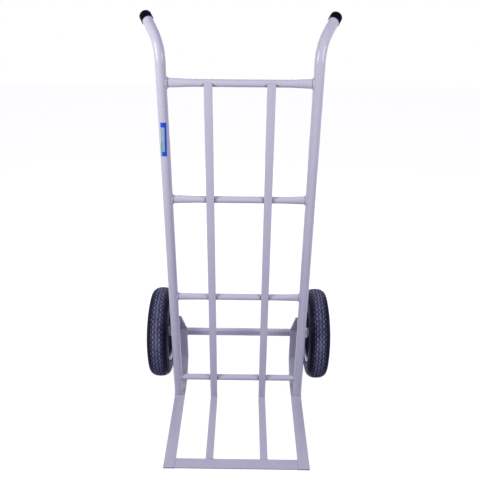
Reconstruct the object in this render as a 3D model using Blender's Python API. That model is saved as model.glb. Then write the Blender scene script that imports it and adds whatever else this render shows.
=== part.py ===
"""Two-wheel hand truck: a welded tube frame with a barred toe, on two air-filled wheels.

Metres, +Z up. X runs across the truck and -Y is the load side. The floor is z = 0, and the
origin lies on it, under the middle of the truck's own box.
"""
import math

import bmesh
import bpy
from mathutils import Matrix, Vector

# Clearances that all pieces share
FIT_GAP = 0.0003
CUT_OVERRUN = 0.002

# Round rails and the handles that they bend into
RAIL_DIAMETER = 0.03175
RAIL_WALL = 0.0015
RAIL_SPACING = 0.4521
RAIL_STRAIGHT_HEIGHT = 1.2335
HANDLE_BEND_RADIUS = 0.090
HANDLE_BEND_ANGLE = math.radians(57)
HANDLE_SPLAY_ANGLE = math.radians(29)
HANDLE_GRIP_LENGTH = 0.0495

# Plastic caps pushed over the handles' ends
CAP_WALL = 0.0016
CAP_LENGTH = 0.0285
CAP_END_THICKNESS = 0.003
CAP_EDGE_RADIUS = 0.006
CAP_DOME_HEIGHT = 0.0015

# Cross tubes between the rails, by the height of their centre lines
CROSS_TUBE_DIAMETER = 0.0222
CROSS_TUBE_WALL = 0.0012
TOP_TUBE_HEIGHT = 1.1758
UPPER_TUBE_HEIGHT = 0.8139
LOWER_TUBE_HEIGHT = 0.4489
FOOT_TUBE_HEIGHT = 0.0908
PRESSED_END_HEIGHT = 0.0272
PRESSED_END_LENGTH = 0.075

# Flat bars: the slats, the front of the toe, and the side bars that carry the axle
SLAT_WIDTH = 0.0254
SLAT_THICKNESS = 0.00476
SLAT_SPACING = 0.1820
SLAT_BEND_RADIUS = 0.0075
TOE_LENGTH = 0.3448
FRONT_BAR_WIDTH = 0.0381
FRONT_BAR_THICKNESS = 0.00476
SIDE_BAR_WIDTH = 0.0381
SIDE_BAR_THICKNESS = 0.00635
TOE_WIDTH = 0.4826
SIDE_BAR_BEND_RADIUS = 0.014
HEEL_SETBACK = 0.098
HEEL_BEND_HEIGHT = 0.060
BRACKET_BEND_HEIGHT = 0.200
BRACKET_TOP_HEIGHT = 0.350

# Axle, its square housing, and what holds the wheels on it
AXLE_DIAMETER = 0.015875
AXLE_SETBACK = 0.1725
AXLE_CHAMFER = 0.0012
AXLE_STUB_LENGTH = 0.007
HOUSING_SIZE = 0.0222
HOUSING_CORNER_RADIUS = 0.0024
HOUSING_BORE_CORNER_RADIUS = 0.0008
SPACER_WALL = 0.0028
WASHER_DIAMETER = 0.034
WASHER_THICKNESS = 0.0025
PIN_WIRE_DIAMETER = 0.0016
PIN_HOLE_DIAMETER = 0.0044
PIN_EYE_RADIUS = 0.0030
PIN_LEG_DROP = 0.0045
PIN_LEG_SPREAD = 0.0060
PIN_LEG_TIP_DROP = 0.0030
PIN_LEG_BEND_RADIUS = 0.0016

# Wheels: tyre, two pressed rim halves, hub, bearings, bolts and valve
WHEEL_SPACING = 0.606
WHEEL_RADIUS = 0.174
TYRE_WIDTH = 0.078
TYRE_FLANGE_CLEARANCE = 0.0008
BEAD_THICKNESS = 0.010
TREAD_GROOVE_DEPTH = 0.0025
RIM_SEAT_RADIUS = 0.1016
RIM_WIDTH = 0.058
RIM_SHEET = 0.0020
RIM_FLANGE_HEIGHT = 0.0115
RIM_LIP_REACH = 0.0035
RIM_DISC_RADIUS = 0.055
RIM_SEAT_WIDTH = 0.013
HUB_DIAMETER = 0.040
HUB_LENGTH = 0.072
HUB_SHOULDER_WALL = 0.006
BEARING_DIAMETER = 0.035
BEARING_WIDTH = 0.011
BEARING_RING_WALL = 0.0028
BEARING_SHIELD_DEPTH = 0.0006
BOLT_COUNT = 4
BOLT_CIRCLE_RADIUS = 0.037
BOLT_DIAMETER = 0.008
BOLT_HEX_DIAMETER = 0.0150
BOLT_HEAD_HEIGHT = 0.0053
BOLT_NUT_HEIGHT = 0.0065
BOLT_THREAD_REACH = 0.0030
VALVE_BOOT_RADIUS = 0.0052
VALVE_STEM_RADIUS = 0.0032
VALVE_CAP_RADIUS = 0.0043
VALVE_INNER_LENGTH = 0.005
VALVE_BOOT_LENGTH = 0.010
VALVE_STEM_LENGTH = 0.008
VALVE_CAP_LENGTH = 0.011

# Half of the tyre's outer outline, from the rim flange to the crown: share of the half width,
# share of the height from flange to crown, and whether the point is a groove's floor
TYRE_OUTLINE_SHARES = (
    (0.92, 0.16, False), (1.00, 0.39, False), (0.965, 0.60, False), (0.86, 0.78, False),
    (0.69, 0.90, False), (0.45, 0.970, False), (0.27, 0.989, False), (0.27, 0.989, True),
    (0.18, 0.995, True), (0.18, 0.995, False),
)
# Half of the tyre's inner outline, from the crown to the bead, in the same two shares
TYRE_CAVITY_SHARES = ((0.58, 0.81), (0.87, 0.52), (0.74, 0.13))
# Where the pressed end of a cross tube is measured, as shares of its length
PRESSED_END_SHARES = (0.0, 0.45, 1.0)

# Facets of the round pieces
RAIL_SIDES = 16
TUBE_SIDES = 12
WHEEL_SIDES = 28
HUB_SIDES = 24
SMALL_SIDES = 16
BOLT_SIDES = 12
WIRE_SIDES = 6
BEND_STEPS = 6
EYE_STEPS = 8
CORNER_STEPS = 3
SMOOTH_ANGLE = math.radians(35)

# Places that follow from the sizes
RAIL_RADIUS = RAIL_DIAMETER / 2
RAIL_X = RAIL_SPACING / 2
RAIL_Y = (TOE_LENGTH - AXLE_SETBACK - WHEEL_RADIUS) / 2
TOE_FRONT_Y = RAIL_Y - TOE_LENGTH
TOE_TOP_Z = SIDE_BAR_THICKNESS
TUBE_RADIUS = CROSS_TUBE_DIAMETER / 2
SLAT_Y = RAIL_Y - TUBE_RADIUS - FIT_GAP - SLAT_THICKNESS / 2
AXLE_Y = RAIL_Y + AXLE_SETBACK
AXLE_Z = WHEEL_RADIUS
AXLE_RADIUS = AXLE_DIAMETER / 2
WHEEL_X = WHEEL_SPACING / 2
BRACKET_Y = AXLE_Y - HOUSING_SIZE / 2 - FIT_GAP - SIDE_BAR_THICKNESS / 2
SIDE_BAR_X = (TOE_WIDTH - SIDE_BAR_WIDTH) / 2
HUB_RADIUS = HUB_DIAMETER / 2
HUB_INNER_X = WHEEL_X - HUB_LENGTH / 2
HUB_OUTER_X = WHEEL_X + HUB_LENGTH / 2
INNER_WASHER_X = HUB_INNER_X - FIT_GAP - WASHER_THICKNESS
OUTER_WASHER_X = HUB_OUTER_X + FIT_GAP
PIN_X = OUTER_WASHER_X + WASHER_THICKNESS + FIT_GAP + PIN_HOLE_DIAMETER / 2
AXLE_END_X = PIN_X + AXLE_STUB_LENGTH
RIM_FLANGE_RADIUS = RIM_SEAT_RADIUS + RIM_FLANGE_HEIGHT
RIM_DISC_OFFSET = (RIM_SHEET + FIT_GAP) / 2

AXIS_X = Vector((1, 0, 0))
AXIS_Y = Vector((0, 1, 0))
AXIS_Z = Vector((0, 0, 1))
SIDES = (("left", -1), ("right", 1))


def clear_scene():
    """Start from nothing."""
    for item in list(bpy.data.objects):
        bpy.data.objects.remove(item)


def make_material(name, colour, roughness, metallic):
    """A plain surface of one colour, roughness and metallic value."""
    surface = bpy.data.materials.new(name)
    surface.use_nodes = True
    shader = surface.node_tree.nodes["Principled BSDF"]
    shader.inputs["Base Color"].default_value = (*colour, 1)
    shader.inputs["Roughness"].default_value = roughness
    shader.inputs["Metallic"].default_value = metallic
    return surface


def loop_round(centre, across, up, radius_across, radius_up, sides):
    """Points round a centre, in the plane of two unit vectors."""
    angles = [math.tau * i / sides for i in range(sides)]
    return [centre + across * (radius_across * math.cos(a)) + up * (radius_up * math.sin(a))
            for a in angles]


def skin(loops, closed):
    """One closed body through a row of loops. A loop of one point is a tip.

    A closed row joins its last loop to its first, as a tube's outer and inner walls do.
    """
    body = bmesh.new()
    rows = [[body.verts.new(point) for point in loop] for loop in loops]
    pairs = list(zip(rows, rows[1:]))
    if closed:
        pairs.append((rows[-1], rows[0]))
    else:
        for end in (rows[0], rows[-1]):
            if len(end) > 1:
                body.faces.new(end)
    for first, second in pairs:
        count = max(len(first), len(second))
        for i in range(count):
            j = (i + 1) % count
            corners = (first[i % len(first)], first[j % len(first)],
                       second[j % len(second)], second[i % len(second)])
            body.faces.new(tuple(dict.fromkeys(corners)))
    bmesh.ops.recalc_face_normals(body, faces=body.faces)
    return body


def turned(profile, sides, closed, axis=AXIS_X, across=AXIS_Y, origin=Vector()):
    """A body turned round an axis from (along, radius) points."""
    up = axis.cross(across)
    loops = []
    for along, radius in profile:
        centre = origin + axis * along
        if radius > 0:
            loops.append(loop_round(centre, across, up, radius, radius, sides))
        else:
            loops.append([centre])
    return skin(loops, closed)


def ring_profile(start, end, inner, outer):
    """The outline of a plain ring or sleeve."""
    return ((start, inner), (start, outer), (end, outer), (end, inner))


def add_piece(name, body, surface, parent=None):
    """Put a finished body in the scene as a named object."""
    mesh = bpy.data.meshes.new(name)
    body.to_mesh(mesh)
    body.free()
    mesh.materials.append(surface)
    mesh.shade_smooth()
    mesh.set_sharp_from_angle(angle=SMOOTH_ANGLE)
    piece = bpy.data.objects.new(name, mesh)
    bpy.context.collection.objects.link(piece)
    piece.parent = parent
    return piece


def cut_away(piece, cutter):
    """Take a cutter's space out of a piece. The cutter itself is only a guide."""
    cutter.hide_render = True
    cutter.display_type = "WIRE"
    cut = piece.modifiers.new("cut_" + cutter.name, "BOOLEAN")
    cut.operation = "DIFFERENCE"
    cut.solver = "EXACT"
    cut.object = cutter


def bent_path(corners, bend_radius):
    """Stations (point, direction) along straight runs in a plane, joined by round bends."""
    first_way = (corners[1] - corners[0]).normalized()
    stations = [(corners[0], first_way)]
    for before, corner, after in zip(corners, corners[1:], corners[2:]):
        way_in = (corner - before).normalized()
        way_out = (after - corner).normalized()
        turn = math.atan2(way_in.x * way_out.y - way_in.y * way_out.x, way_in.dot(way_out))
        setback = bend_radius * math.tan(abs(turn) / 2)
        normal = Vector((-way_in.y, way_in.x)) * math.copysign(bend_radius, turn)
        start = corner - way_in * setback
        for i in range(CORNER_STEPS + 1):
            swing = Matrix.Rotation(turn * i / CORNER_STEPS, 2)
            stations.append((start + normal - swing @ normal, swing @ way_in))
    last_way = (corners[-1] - corners[-2]).normalized()
    stations.append((corners[-1], last_way))
    return stations


def bent_bar(corners, bend_radius, x, width, thickness, end_y=None):
    """A flat bar bent along a path in the YZ plane. end_y trims its last end upright."""
    loops = []
    stations = bent_path(corners, bend_radius)
    for place, (point, way) in enumerate(stations):
        normal = Vector((-way.y, way.x)) * (thickness / 2)
        faces = [point - normal, point + normal]
        if end_y is not None and place == len(stations) - 1:
            faces = [face + way * ((end_y - face.x) / way.x) for face in faces]
        near, far = faces
        left, right = x - width / 2, x + width / 2
        loops.append([Vector((left, *near)), Vector((right, *near)),
                      Vector((right, *far)), Vector((left, *far))])
    return skin(loops, closed=False)


def handle_directions(side):
    """Unit vectors of one handle: straight out from the rail, and across that."""
    out = Vector((side * math.sin(HANDLE_SPLAY_ANGLE), math.cos(HANDLE_SPLAY_ANGLE), 0))
    across = Vector((side * math.cos(HANDLE_SPLAY_ANGLE), -math.sin(HANDLE_SPLAY_ANGLE), 0))
    return out, across


def handle_lip():
    """How far out and how high the cap's lip lies on the handle's centre line."""
    run = (HANDLE_BEND_RADIUS * (1 - math.cos(HANDLE_BEND_ANGLE))
           + HANDLE_GRIP_LENGTH * math.sin(HANDLE_BEND_ANGLE))
    height = (RAIL_STRAIGHT_HEIGHT + HANDLE_BEND_RADIUS * math.sin(HANDLE_BEND_ANGLE)
              + HANDLE_GRIP_LENGTH * math.cos(HANDLE_BEND_ANGLE))
    return run, height


def make_rail(side):
    """A hollow rail that stands on its side bar and bends back and outward to the handle."""
    out, across = handle_directions(side)
    foot = Vector((side * RAIL_X, RAIL_Y, 0))
    stations = [(0, TOE_TOP_Z + FIT_GAP, 0)]
    for i in range(BEND_STEPS + 1):
        tilt = HANDLE_BEND_ANGLE * i / BEND_STEPS
        stations.append((HANDLE_BEND_RADIUS * (1 - math.cos(tilt)),
                         RAIL_STRAIGHT_HEIGHT + HANDLE_BEND_RADIUS * math.sin(tilt), tilt))
    run, height = handle_lip()
    inside_cap = CAP_LENGTH - CAP_DOME_HEIGHT - CAP_END_THICKNESS - FIT_GAP
    stations.append((run + inside_cap * math.sin(HANDLE_BEND_ANGLE),
                     height + inside_cap * math.cos(HANDLE_BEND_ANGLE), HANDLE_BEND_ANGLE))

    def wall(radius):
        loops = []
        for reach, level, tilt in stations:
            centre = foot + out * reach + AXIS_Z * level
            back = out * math.cos(tilt) - AXIS_Z * math.sin(tilt)
            loops.append(loop_round(centre, across, back, radius, radius, RAIL_SIDES))
        return loops

    return skin(wall(RAIL_RADIUS) + wall(RAIL_RADIUS - RAIL_WALL)[::-1], closed=True)


def make_handle_cap(side):
    """A soft cup with a rounded rim that sleeves over the end of the handle."""
    out, across = handle_directions(side)
    run, height = handle_lip()
    origin = Vector((side * RAIL_X, RAIL_Y, 0)) + out * run + AXIS_Z * height
    axis = out * math.sin(HANDLE_BEND_ANGLE) + AXIS_Z * math.cos(HANDLE_BEND_ANGLE)
    inner = RAIL_RADIUS + FIT_GAP
    outer = inner + CAP_WALL
    shoulder = CAP_LENGTH - CAP_DOME_HEIGHT
    profile = [(CAP_LENGTH, 0)]
    for i in range(CORNER_STEPS + 1):
        angle = math.pi / 2 * (1 - i / CORNER_STEPS)
        profile.append((shoulder - CAP_EDGE_RADIUS * (1 - math.sin(angle)),
                        outer - CAP_EDGE_RADIUS * (1 - math.cos(angle))))
    floor = shoulder - CAP_END_THICKNESS
    profile += [(0, outer), (0, inner), (floor, inner), (floor, 0)]
    return turned(profile, RAIL_SIDES, closed=False, axis=axis, across=across, origin=origin)


def rail_face_x(y):
    """Distance from the middle plane to a rail's inner side, at a depth y from its centre."""
    reach = RAIL_RADIUS + FIT_GAP
    return RAIL_X - math.sqrt(reach ** 2 - y ** 2)


def make_cross_tube(height, pressed):
    """A tube between the rails, with saddle-cut ends that may be pressed taller and thinner."""
    end_height = PRESSED_END_HEIGHT / 2 if pressed else TUBE_RADIUS
    end_depth = math.sqrt(2 * TUBE_RADIUS ** 2 - end_height ** 2)

    def wall(inset):
        half = []
        for share in PRESSED_END_SHARES:
            ease = share * share * (3 - 2 * share)
            up = end_height + (TUBE_RADIUS - end_height) * ease - inset
            deep = end_depth + (TUBE_RADIUS - end_depth) * ease - inset
            loop = []
            for point in loop_round(Vector(), AXIS_Y, AXIS_Z, deep, up, TUBE_SIDES):
                point.x = rail_face_x(point.y) * (1 - share)
                point.x += (RAIL_X - RAIL_RADIUS - PRESSED_END_LENGTH) * share
                point += Vector((0, RAIL_Y, height))
                loop.append(point)
            half.append(loop)
        mirrored = [[Vector((-p.x, p.y, p.z)) for p in loop] for loop in half]
        return half + mirrored[::-1]

    return skin(wall(0) + wall(CROSS_TUBE_WALL)[::-1], closed=True)


def make_slat(side):
    """A flat bar down the front of the cross tubes that turns forward into the toe."""
    level = TOE_TOP_Z - SLAT_THICKNESS / 2
    front = TOE_FRONT_Y + FRONT_BAR_WIDTH + FIT_GAP
    corners = (Vector((SLAT_Y, TOP_TUBE_HEIGHT)), Vector((SLAT_Y, level)), Vector((front, level)))
    return bent_bar(corners, SLAT_BEND_RADIUS, side * SLAT_SPACING / 2, SLAT_WIDTH, SLAT_THICKNESS)


def make_side_bar(side):
    """One flat bar: the toe's side, then the heel, the axle's seat and the stay to the rail."""
    level = SIDE_BAR_THICKNESS / 2
    rail_back = RAIL_Y + RAIL_RADIUS + FIT_GAP
    corners = (
        Vector((TOE_FRONT_Y, level)),
        Vector((RAIL_Y + HEEL_SETBACK, level)),
        Vector((BRACKET_Y, HEEL_BEND_HEIGHT)),
        Vector((BRACKET_Y, BRACKET_BEND_HEIGHT)),
        Vector((rail_back, BRACKET_TOP_HEIGHT)),
    )
    return bent_bar(corners, SIDE_BAR_BEND_RADIUS, side * SIDE_BAR_X, SIDE_BAR_WIDTH,
                    SIDE_BAR_THICKNESS, end_y=rail_back)


def make_front_bar():
    """The flat bar across the toe's front, butted between the side bars."""
    half = SIDE_BAR_X - SIDE_BAR_WIDTH / 2 - FIT_GAP
    loops = []
    for x in (-half, half):
        loops.append([Vector((x, y, z)) for y, z in (
            (TOE_FRONT_Y, TOE_TOP_Z - FRONT_BAR_THICKNESS),
            (TOE_FRONT_Y + FRONT_BAR_WIDTH, TOE_TOP_Z - FRONT_BAR_THICKNESS),
            (TOE_FRONT_Y + FRONT_BAR_WIDTH, TOE_TOP_Z),
            (TOE_FRONT_Y, TOE_TOP_Z))])
    return skin(loops, closed=False)


def rounded_square(x, size, corner_radius):
    """A square loop with rounded corners, round the axle's line."""
    inset = size / 2 - corner_radius
    loop = []
    for quarter in range(4):
        start = math.pi / 2 * quarter
        corner_y = math.copysign(inset, math.cos(start + math.pi / 4))
        corner_z = math.copysign(inset, math.sin(start + math.pi / 4))
        for i in range(CORNER_STEPS + 1):
            angle = start + math.pi / 2 * i / CORNER_STEPS
            loop.append(Vector((x, AXLE_Y + corner_y + corner_radius * math.cos(angle),
                                AXLE_Z + corner_z + corner_radius * math.sin(angle))))
    return loop


def make_axle_housing():
    """The square tube behind the side bars that the axle runs through."""
    half = TOE_WIDTH / 2
    bore = AXLE_DIAMETER + 2 * FIT_GAP
    loops = [rounded_square(-half, HOUSING_SIZE, HOUSING_CORNER_RADIUS),
             rounded_square(half, HOUSING_SIZE, HOUSING_CORNER_RADIUS),
             rounded_square(half, bore, HOUSING_BORE_CORNER_RADIUS),
             rounded_square(-half, bore, HOUSING_BORE_CORNER_RADIUS)]
    return skin(loops, closed=True)


def make_axle():
    """A round bar with chamfered ends, as a body round the axle's line."""
    tip = AXLE_RADIUS - AXLE_CHAMFER
    profile = ((-AXLE_END_X, tip), (AXLE_CHAMFER - AXLE_END_X, AXLE_RADIUS),
               (AXLE_END_X - AXLE_CHAMFER, AXLE_RADIUS), (AXLE_END_X, tip))
    return turned(profile, SMALL_SIDES, closed=False, origin=Vector((0, AXLE_Y, AXLE_Z)))


def make_pin_hole(side):
    """The space of the upright hole that a split pin goes through."""
    reach = AXLE_RADIUS + CUT_OVERRUN
    radius = PIN_HOLE_DIAMETER / 2
    return turned(((-reach, radius), (reach, radius)), BOLT_SIDES, closed=False, axis=AXIS_Z,
                  across=AXIS_X, origin=Vector((side * PIN_X, AXLE_Y, AXLE_Z)))


def make_split_pin(side):
    """A doubled wire: two legs through the axle, an eye above, and ends spread below."""
    wire = PIN_WIRE_DIAMETER / 2
    leg = wire + FIT_GAP / 2
    knee = -AXLE_RADIUS - PIN_LEG_DROP
    neck_angle = math.asin(leg / PIN_EYE_RADIUS)
    eye_height = AXLE_RADIUS + wire + FIT_GAP + PIN_EYE_RADIUS * math.cos(neck_angle)
    neck = eye_height - PIN_EYE_RADIUS * math.cos(neck_angle)
    tip = Vector((leg + PIN_LEG_SPREAD, knee - PIN_LEG_TIP_DROP))
    rise = bent_path((tip, Vector((leg, knee)), Vector((leg, neck))), PIN_LEG_BEND_RADIUS)
    eye = []
    for i in range(1, EYE_STEPS):
        angle = neck_angle + (math.tau - 2 * neck_angle) * i / EYE_STEPS
        point = Vector((math.sin(angle), -math.cos(angle))) * PIN_EYE_RADIUS
        eye.append((point + Vector((0, eye_height)), Vector((math.cos(angle), math.sin(angle)))))
    fall = [(Vector((-point.x, point.y)), Vector((way.x, -way.y))) for point, way in rise[::-1]]
    loops = []
    for point, way in rise + eye + fall:
        normal = Vector((0, -way.y, way.x))
        centre = Vector((side * PIN_X, AXLE_Y + point.x, AXLE_Z + point.y))
        loops.append(loop_round(centre, AXIS_X, normal, wire, wire, WIRE_SIDES))
    return skin(loops, closed=False)


def axle_ring(side, start, end, outer):
    """A sleeve or washer on the axle, between two distances from the middle plane."""
    return turned(ring_profile(side * start, side * end, AXLE_RADIUS + FIT_GAP, outer),
                  SMALL_SIDES, closed=True, origin=Vector((0, AXLE_Y, AXLE_Z)))


def both_sides(half):
    """A closed outline from its half at positive offsets, mirrored in the wheel's plane."""
    return list(half) + [(-along, radius) for along, radius in reversed(half)]


def make_tyre():
    """A hollow tyre with seated beads, bulged sidewalls and a grooved, rounded tread."""
    half_width = TYRE_WIDTH / 2
    bead = RIM_WIDTH / 2 - FIT_GAP
    seat = RIM_SEAT_RADIUS + FIT_GAP
    flange_top = RIM_FLANGE_RADIUS + TYRE_FLANGE_CLEARANCE
    height = WHEEL_RADIUS - flange_top
    outline = [(bead - BEAD_THICKNESS, seat), (bead, seat), (bead, flange_top)]
    for width_share, height_share, sunk in TYRE_OUTLINE_SHARES:
        depth = TREAD_GROOVE_DEPTH if sunk else 0
        outline.append((half_width * width_share, flange_top + height * height_share - depth))
    cavity = [(half_width * width_share, flange_top + height * height_share)
              for width_share, height_share in TYRE_CAVITY_SHARES]
    mirrored_outline = [(-along, radius) for along, radius in reversed(outline)]
    mirrored_cavity = [(-along, radius) for along, radius in cavity]
    crown = [(0, WHEEL_RADIUS)]
    return outline + crown + mirrored_outline + mirrored_cavity[::-1] + cavity


def sheet_outline(points, thickness):
    """The closed outline of a sheet that follows a middle line, with mitred corners."""
    ways = [(b - a).normalized() for a, b in zip(points, points[1:])]
    near, far = [], []
    for i, point in enumerate(points):
        before = ways[max(i - 1, 0)]
        after = ways[min(i, len(ways) - 1)]
        mean = (before + after).normalized()
        mitre = Vector((-mean.y, mean.x)) * (thickness / 2 / mean.dot(after))
        near.append(tuple(point + mitre))
        far.append(tuple(point - mitre))
    return near + far[::-1]


def rim_middle_line():
    """A rim half's middle line, from the hub's side to the flange's lip: (along, radius)."""
    seat = RIM_SEAT_RADIUS - RIM_SHEET / 2
    flange = RIM_WIDTH / 2 + RIM_SHEET / 2
    return [Vector((RIM_DISC_OFFSET, HUB_RADIUS + FIT_GAP)),
            Vector((RIM_DISC_OFFSET, RIM_DISC_RADIUS)),
            Vector((RIM_WIDTH / 2 - RIM_SEAT_WIDTH, seat)),
            Vector((flange, seat)),
            Vector((flange, RIM_FLANGE_RADIUS - RIM_SHEET)),
            Vector((flange + RIM_LIP_REACH, RIM_FLANGE_RADIUS - RIM_SHEET / 2))]


def make_rim_half(outward):
    """A pressed sheet half: disc against its twin, cone, bead seat and curled flange."""
    return turned(sheet_outline(rim_middle_line(), RIM_SHEET), WHEEL_SIDES, closed=True,
                  axis=AXIS_X * outward)


def make_hub():
    """A turned sleeve with a counterbore at each end for its bearing."""
    half = HUB_LENGTH / 2
    seat = BEARING_DIAMETER / 2 + FIT_GAP
    shoulder = half - BEARING_WIDTH - FIT_GAP
    profile = both_sides(((half, HUB_RADIUS), (half, seat), (shoulder, seat),
                          (shoulder, HUB_RADIUS - HUB_SHOULDER_WALL)))
    return turned(profile, HUB_SIDES, closed=True)


def make_bearing(outward):
    """A ball bearing closed by a sunk shield, flush with the hub's end."""
    face = HUB_LENGTH / 2
    back = face - BEARING_WIDTH
    shield = face - BEARING_SHIELD_DEPTH
    bore = AXLE_RADIUS + FIT_GAP
    outer = BEARING_DIAMETER / 2
    profile = ((back, bore), (face, bore), (face, bore + BEARING_RING_WALL),
               (shield, bore + BEARING_RING_WALL), (shield, outer - BEARING_RING_WALL),
               (face, outer - BEARING_RING_WALL), (face, outer), (back, outer))
    return turned(profile, SMALL_SIDES, closed=True, axis=AXIS_X * outward)


def bolt_places():
    """Centres of the rim bolts in the wheel's plane."""
    angles = [math.tau * (i + 0.5) / BOLT_COUNT for i in range(BOLT_COUNT)]
    return [Vector((0, math.cos(a), math.sin(a))) * BOLT_CIRCLE_RADIUS for a in angles]


def make_bolt(place, outward):
    """A hexagon bolt with its nut, clamped over both rim discs, head outward."""
    disc = RIM_DISC_OFFSET + RIM_SHEET / 2 + FIT_GAP
    corner = BOLT_HEX_DIAMETER / 2
    shank = BOLT_DIAMETER / 2

    def loop(along, radius, hexagon):
        centre = place + AXIS_X * (along * outward)
        points = loop_round(centre, AXIS_Y, AXIS_Z, radius, radius, BOLT_SIDES)
        if hexagon:
            flat_share = math.cos(math.pi / 6)
            points[1::2] = [centre + (p - centre) * flat_share for p in points[1::2]]
        return points

    nut_end = -disc - BOLT_NUT_HEIGHT
    loops = [loop(disc + BOLT_HEAD_HEIGHT, corner, True), loop(disc, corner, True),
             loop(disc, shank, False), loop(-disc, shank, False),
             loop(-disc, corner, True), loop(nut_end, corner, True),
             loop(nut_end, shank, False), loop(nut_end - BOLT_THREAD_REACH, shank, False)]
    return skin(loops, closed=False)


def make_bolt_holes():
    """The spaces of the bolt holes through both rim discs."""
    reach = RIM_DISC_OFFSET + RIM_SHEET / 2 + CUT_OVERRUN
    radius = BOLT_DIAMETER / 2 + FIT_GAP
    holes = bmesh.new()
    for place in bolt_places():
        hole = turned(((-reach, radius), (reach, radius)), BOLT_SIDES, closed=False, origin=place)
        mesh = bpy.data.meshes.new("bolt_hole")
        hole.to_mesh(mesh)
        hole.free()
        holes.from_mesh(mesh)
        bpy.data.meshes.remove(mesh)
    return holes


def valve_line(outward):
    """Where the valve leaves the rim's cone, and the way that it points."""
    disc_edge, cone_end = rim_middle_line()[1:3]
    middle = (disc_edge + cone_end) / 2
    cone = (cone_end - disc_edge).normalized()
    place = Vector((middle.x * outward, 0, middle.y))
    way = Vector((cone.y * outward, 0, -cone.x))
    return place, way


def make_valve(outward):
    """A rubber boot through the rim's cone, a thin stem and a screwed dust cap."""
    place, way = valve_line(outward)
    lengths = (VALVE_BOOT_LENGTH, VALVE_STEM_LENGTH, VALVE_CAP_LENGTH)
    boot_end, stem_end, cap_end = (sum(lengths[:i + 1]) for i in range(len(lengths)))
    profile = ((-VALVE_INNER_LENGTH, VALVE_BOOT_RADIUS), (RIM_SHEET, VALVE_BOOT_RADIUS),
               (boot_end, VALVE_STEM_RADIUS), (stem_end, VALVE_STEM_RADIUS),
               (stem_end, VALVE_CAP_RADIUS), (cap_end, VALVE_CAP_RADIUS))
    return turned(profile, BOLT_SIDES, closed=False, axis=way, across=AXIS_Y, origin=place)


def make_valve_hole(outward):
    """The space of the hole that the valve's boot fills."""
    place, way = valve_line(outward)
    radius = VALVE_BOOT_RADIUS + FIT_GAP
    reach = RIM_SHEET + CUT_OVERRUN
    return turned(((-reach, radius), (reach, radius)), BOLT_SIDES, closed=False, axis=way,
                  across=AXIS_Y, origin=place)


def build_frame(paint, plastic, zinc):
    """The welded frame, and the axle with what is threaded on it."""
    tubes = (("top_cross_tube", TOP_TUBE_HEIGHT, True),
             ("upper_cross_tube", UPPER_TUBE_HEIGHT, True),
             ("lower_cross_tube", LOWER_TUBE_HEIGHT, True),
             ("foot_cross_tube", FOOT_TUBE_HEIGHT, False))
    for name, height, pressed in tubes:
        add_piece(name, make_cross_tube(height, pressed), paint)
    add_piece("toe_front_bar", make_front_bar(), paint)
    add_piece("axle_housing", make_axle_housing(), paint)
    axle = add_piece("axle", make_axle(), zinc)
    for hand, side in SIDES:
        add_piece(hand + "_rail", make_rail(side), paint)
        add_piece(hand + "_slat", make_slat(side), paint)
        add_piece(hand + "_side_bar", make_side_bar(side), paint)
        add_piece(hand + "_handle_cap", make_handle_cap(side), plastic)
        spacer = axle_ring(side, TOE_WIDTH / 2 + FIT_GAP, INNER_WASHER_X - FIT_GAP,
                           AXLE_RADIUS + FIT_GAP + SPACER_WALL)
        add_piece(hand + "_axle_spacer", spacer, zinc)
        for place, start in (("inner", INNER_WASHER_X), ("outer", OUTER_WASHER_X)):
            washer = axle_ring(side, start, start + WASHER_THICKNESS, WASHER_DIAMETER / 2)
            add_piece(hand + "_" + place + "_washer", washer, zinc)
        add_piece(hand + "_split_pin", make_split_pin(side), zinc)
        cut_away(axle, add_piece(hand + "_pin_hole", make_pin_hole(side), zinc))


def build_wheel(hand, side, rubber, rim_paint, zinc, steel):
    """One wheel, built round its own axis and hung on an empty at the axle."""
    axis = bpy.data.objects.new(hand + "_wheel_axis", None)
    axis.location = (side * WHEEL_X, AXLE_Y, AXLE_Z)
    bpy.context.collection.objects.link(axis)
    add_piece(hand + "_tyre", turned(make_tyre(), WHEEL_SIDES, closed=True), rubber, axis)
    add_piece(hand + "_hub", make_hub(), zinc, axis)
    bolt_holes = add_piece(hand + "_bolt_holes", make_bolt_holes(), zinc, axis)
    for place, outward in (("inner", -side), ("outer", side)):
        half = add_piece(hand + "_rim_" + place + "_half", make_rim_half(outward), rim_paint, axis)
        cut_away(half, bolt_holes)
        add_piece(hand + "_" + place + "_bearing", make_bearing(outward), steel, axis)
    for number, place in enumerate(bolt_places(), start=1):
        add_piece(hand + "_rim_bolt_" + str(number), make_bolt(place, side), zinc, axis)
    add_piece(hand + "_valve", make_valve(side), rubber, axis)
    cut_away(half, add_piece(hand + "_valve_hole", make_valve_hole(side), rubber, axis))


def main():
    """Build the whole truck."""
    clear_scene()
    paint = make_material("lavender_grey_enamel", (0.50, 0.49, 0.61), 0.35, 0)
    plastic = make_material("black_plastic", (0.012, 0.010, 0.022), 0.45, 0)
    rubber = make_material("tyre_rubber", (0.022, 0.022, 0.030), 0.75, 0)
    rim_paint = make_material("black_rim_enamel", (0.020, 0.021, 0.030), 0.40, 0)
    zinc = make_material("zinc_plate", (0.62, 0.62, 0.66), 0.35, 1)
    steel = make_material("bearing_steel", (0.55, 0.55, 0.56), 0.25, 1)
    build_frame(paint, plastic, zinc)
    for hand, side in SIDES:
        build_wheel(hand, side, rubber, rim_paint, zinc, steel)


main()
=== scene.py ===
"""Looks of a two-wheel hand truck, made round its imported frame.

Metres, +Z up, the load side is -Y. The floor is z = 0.
"""
import math

import bmesh
import bpy
from mathutils import Matrix, Vector, noise


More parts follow.
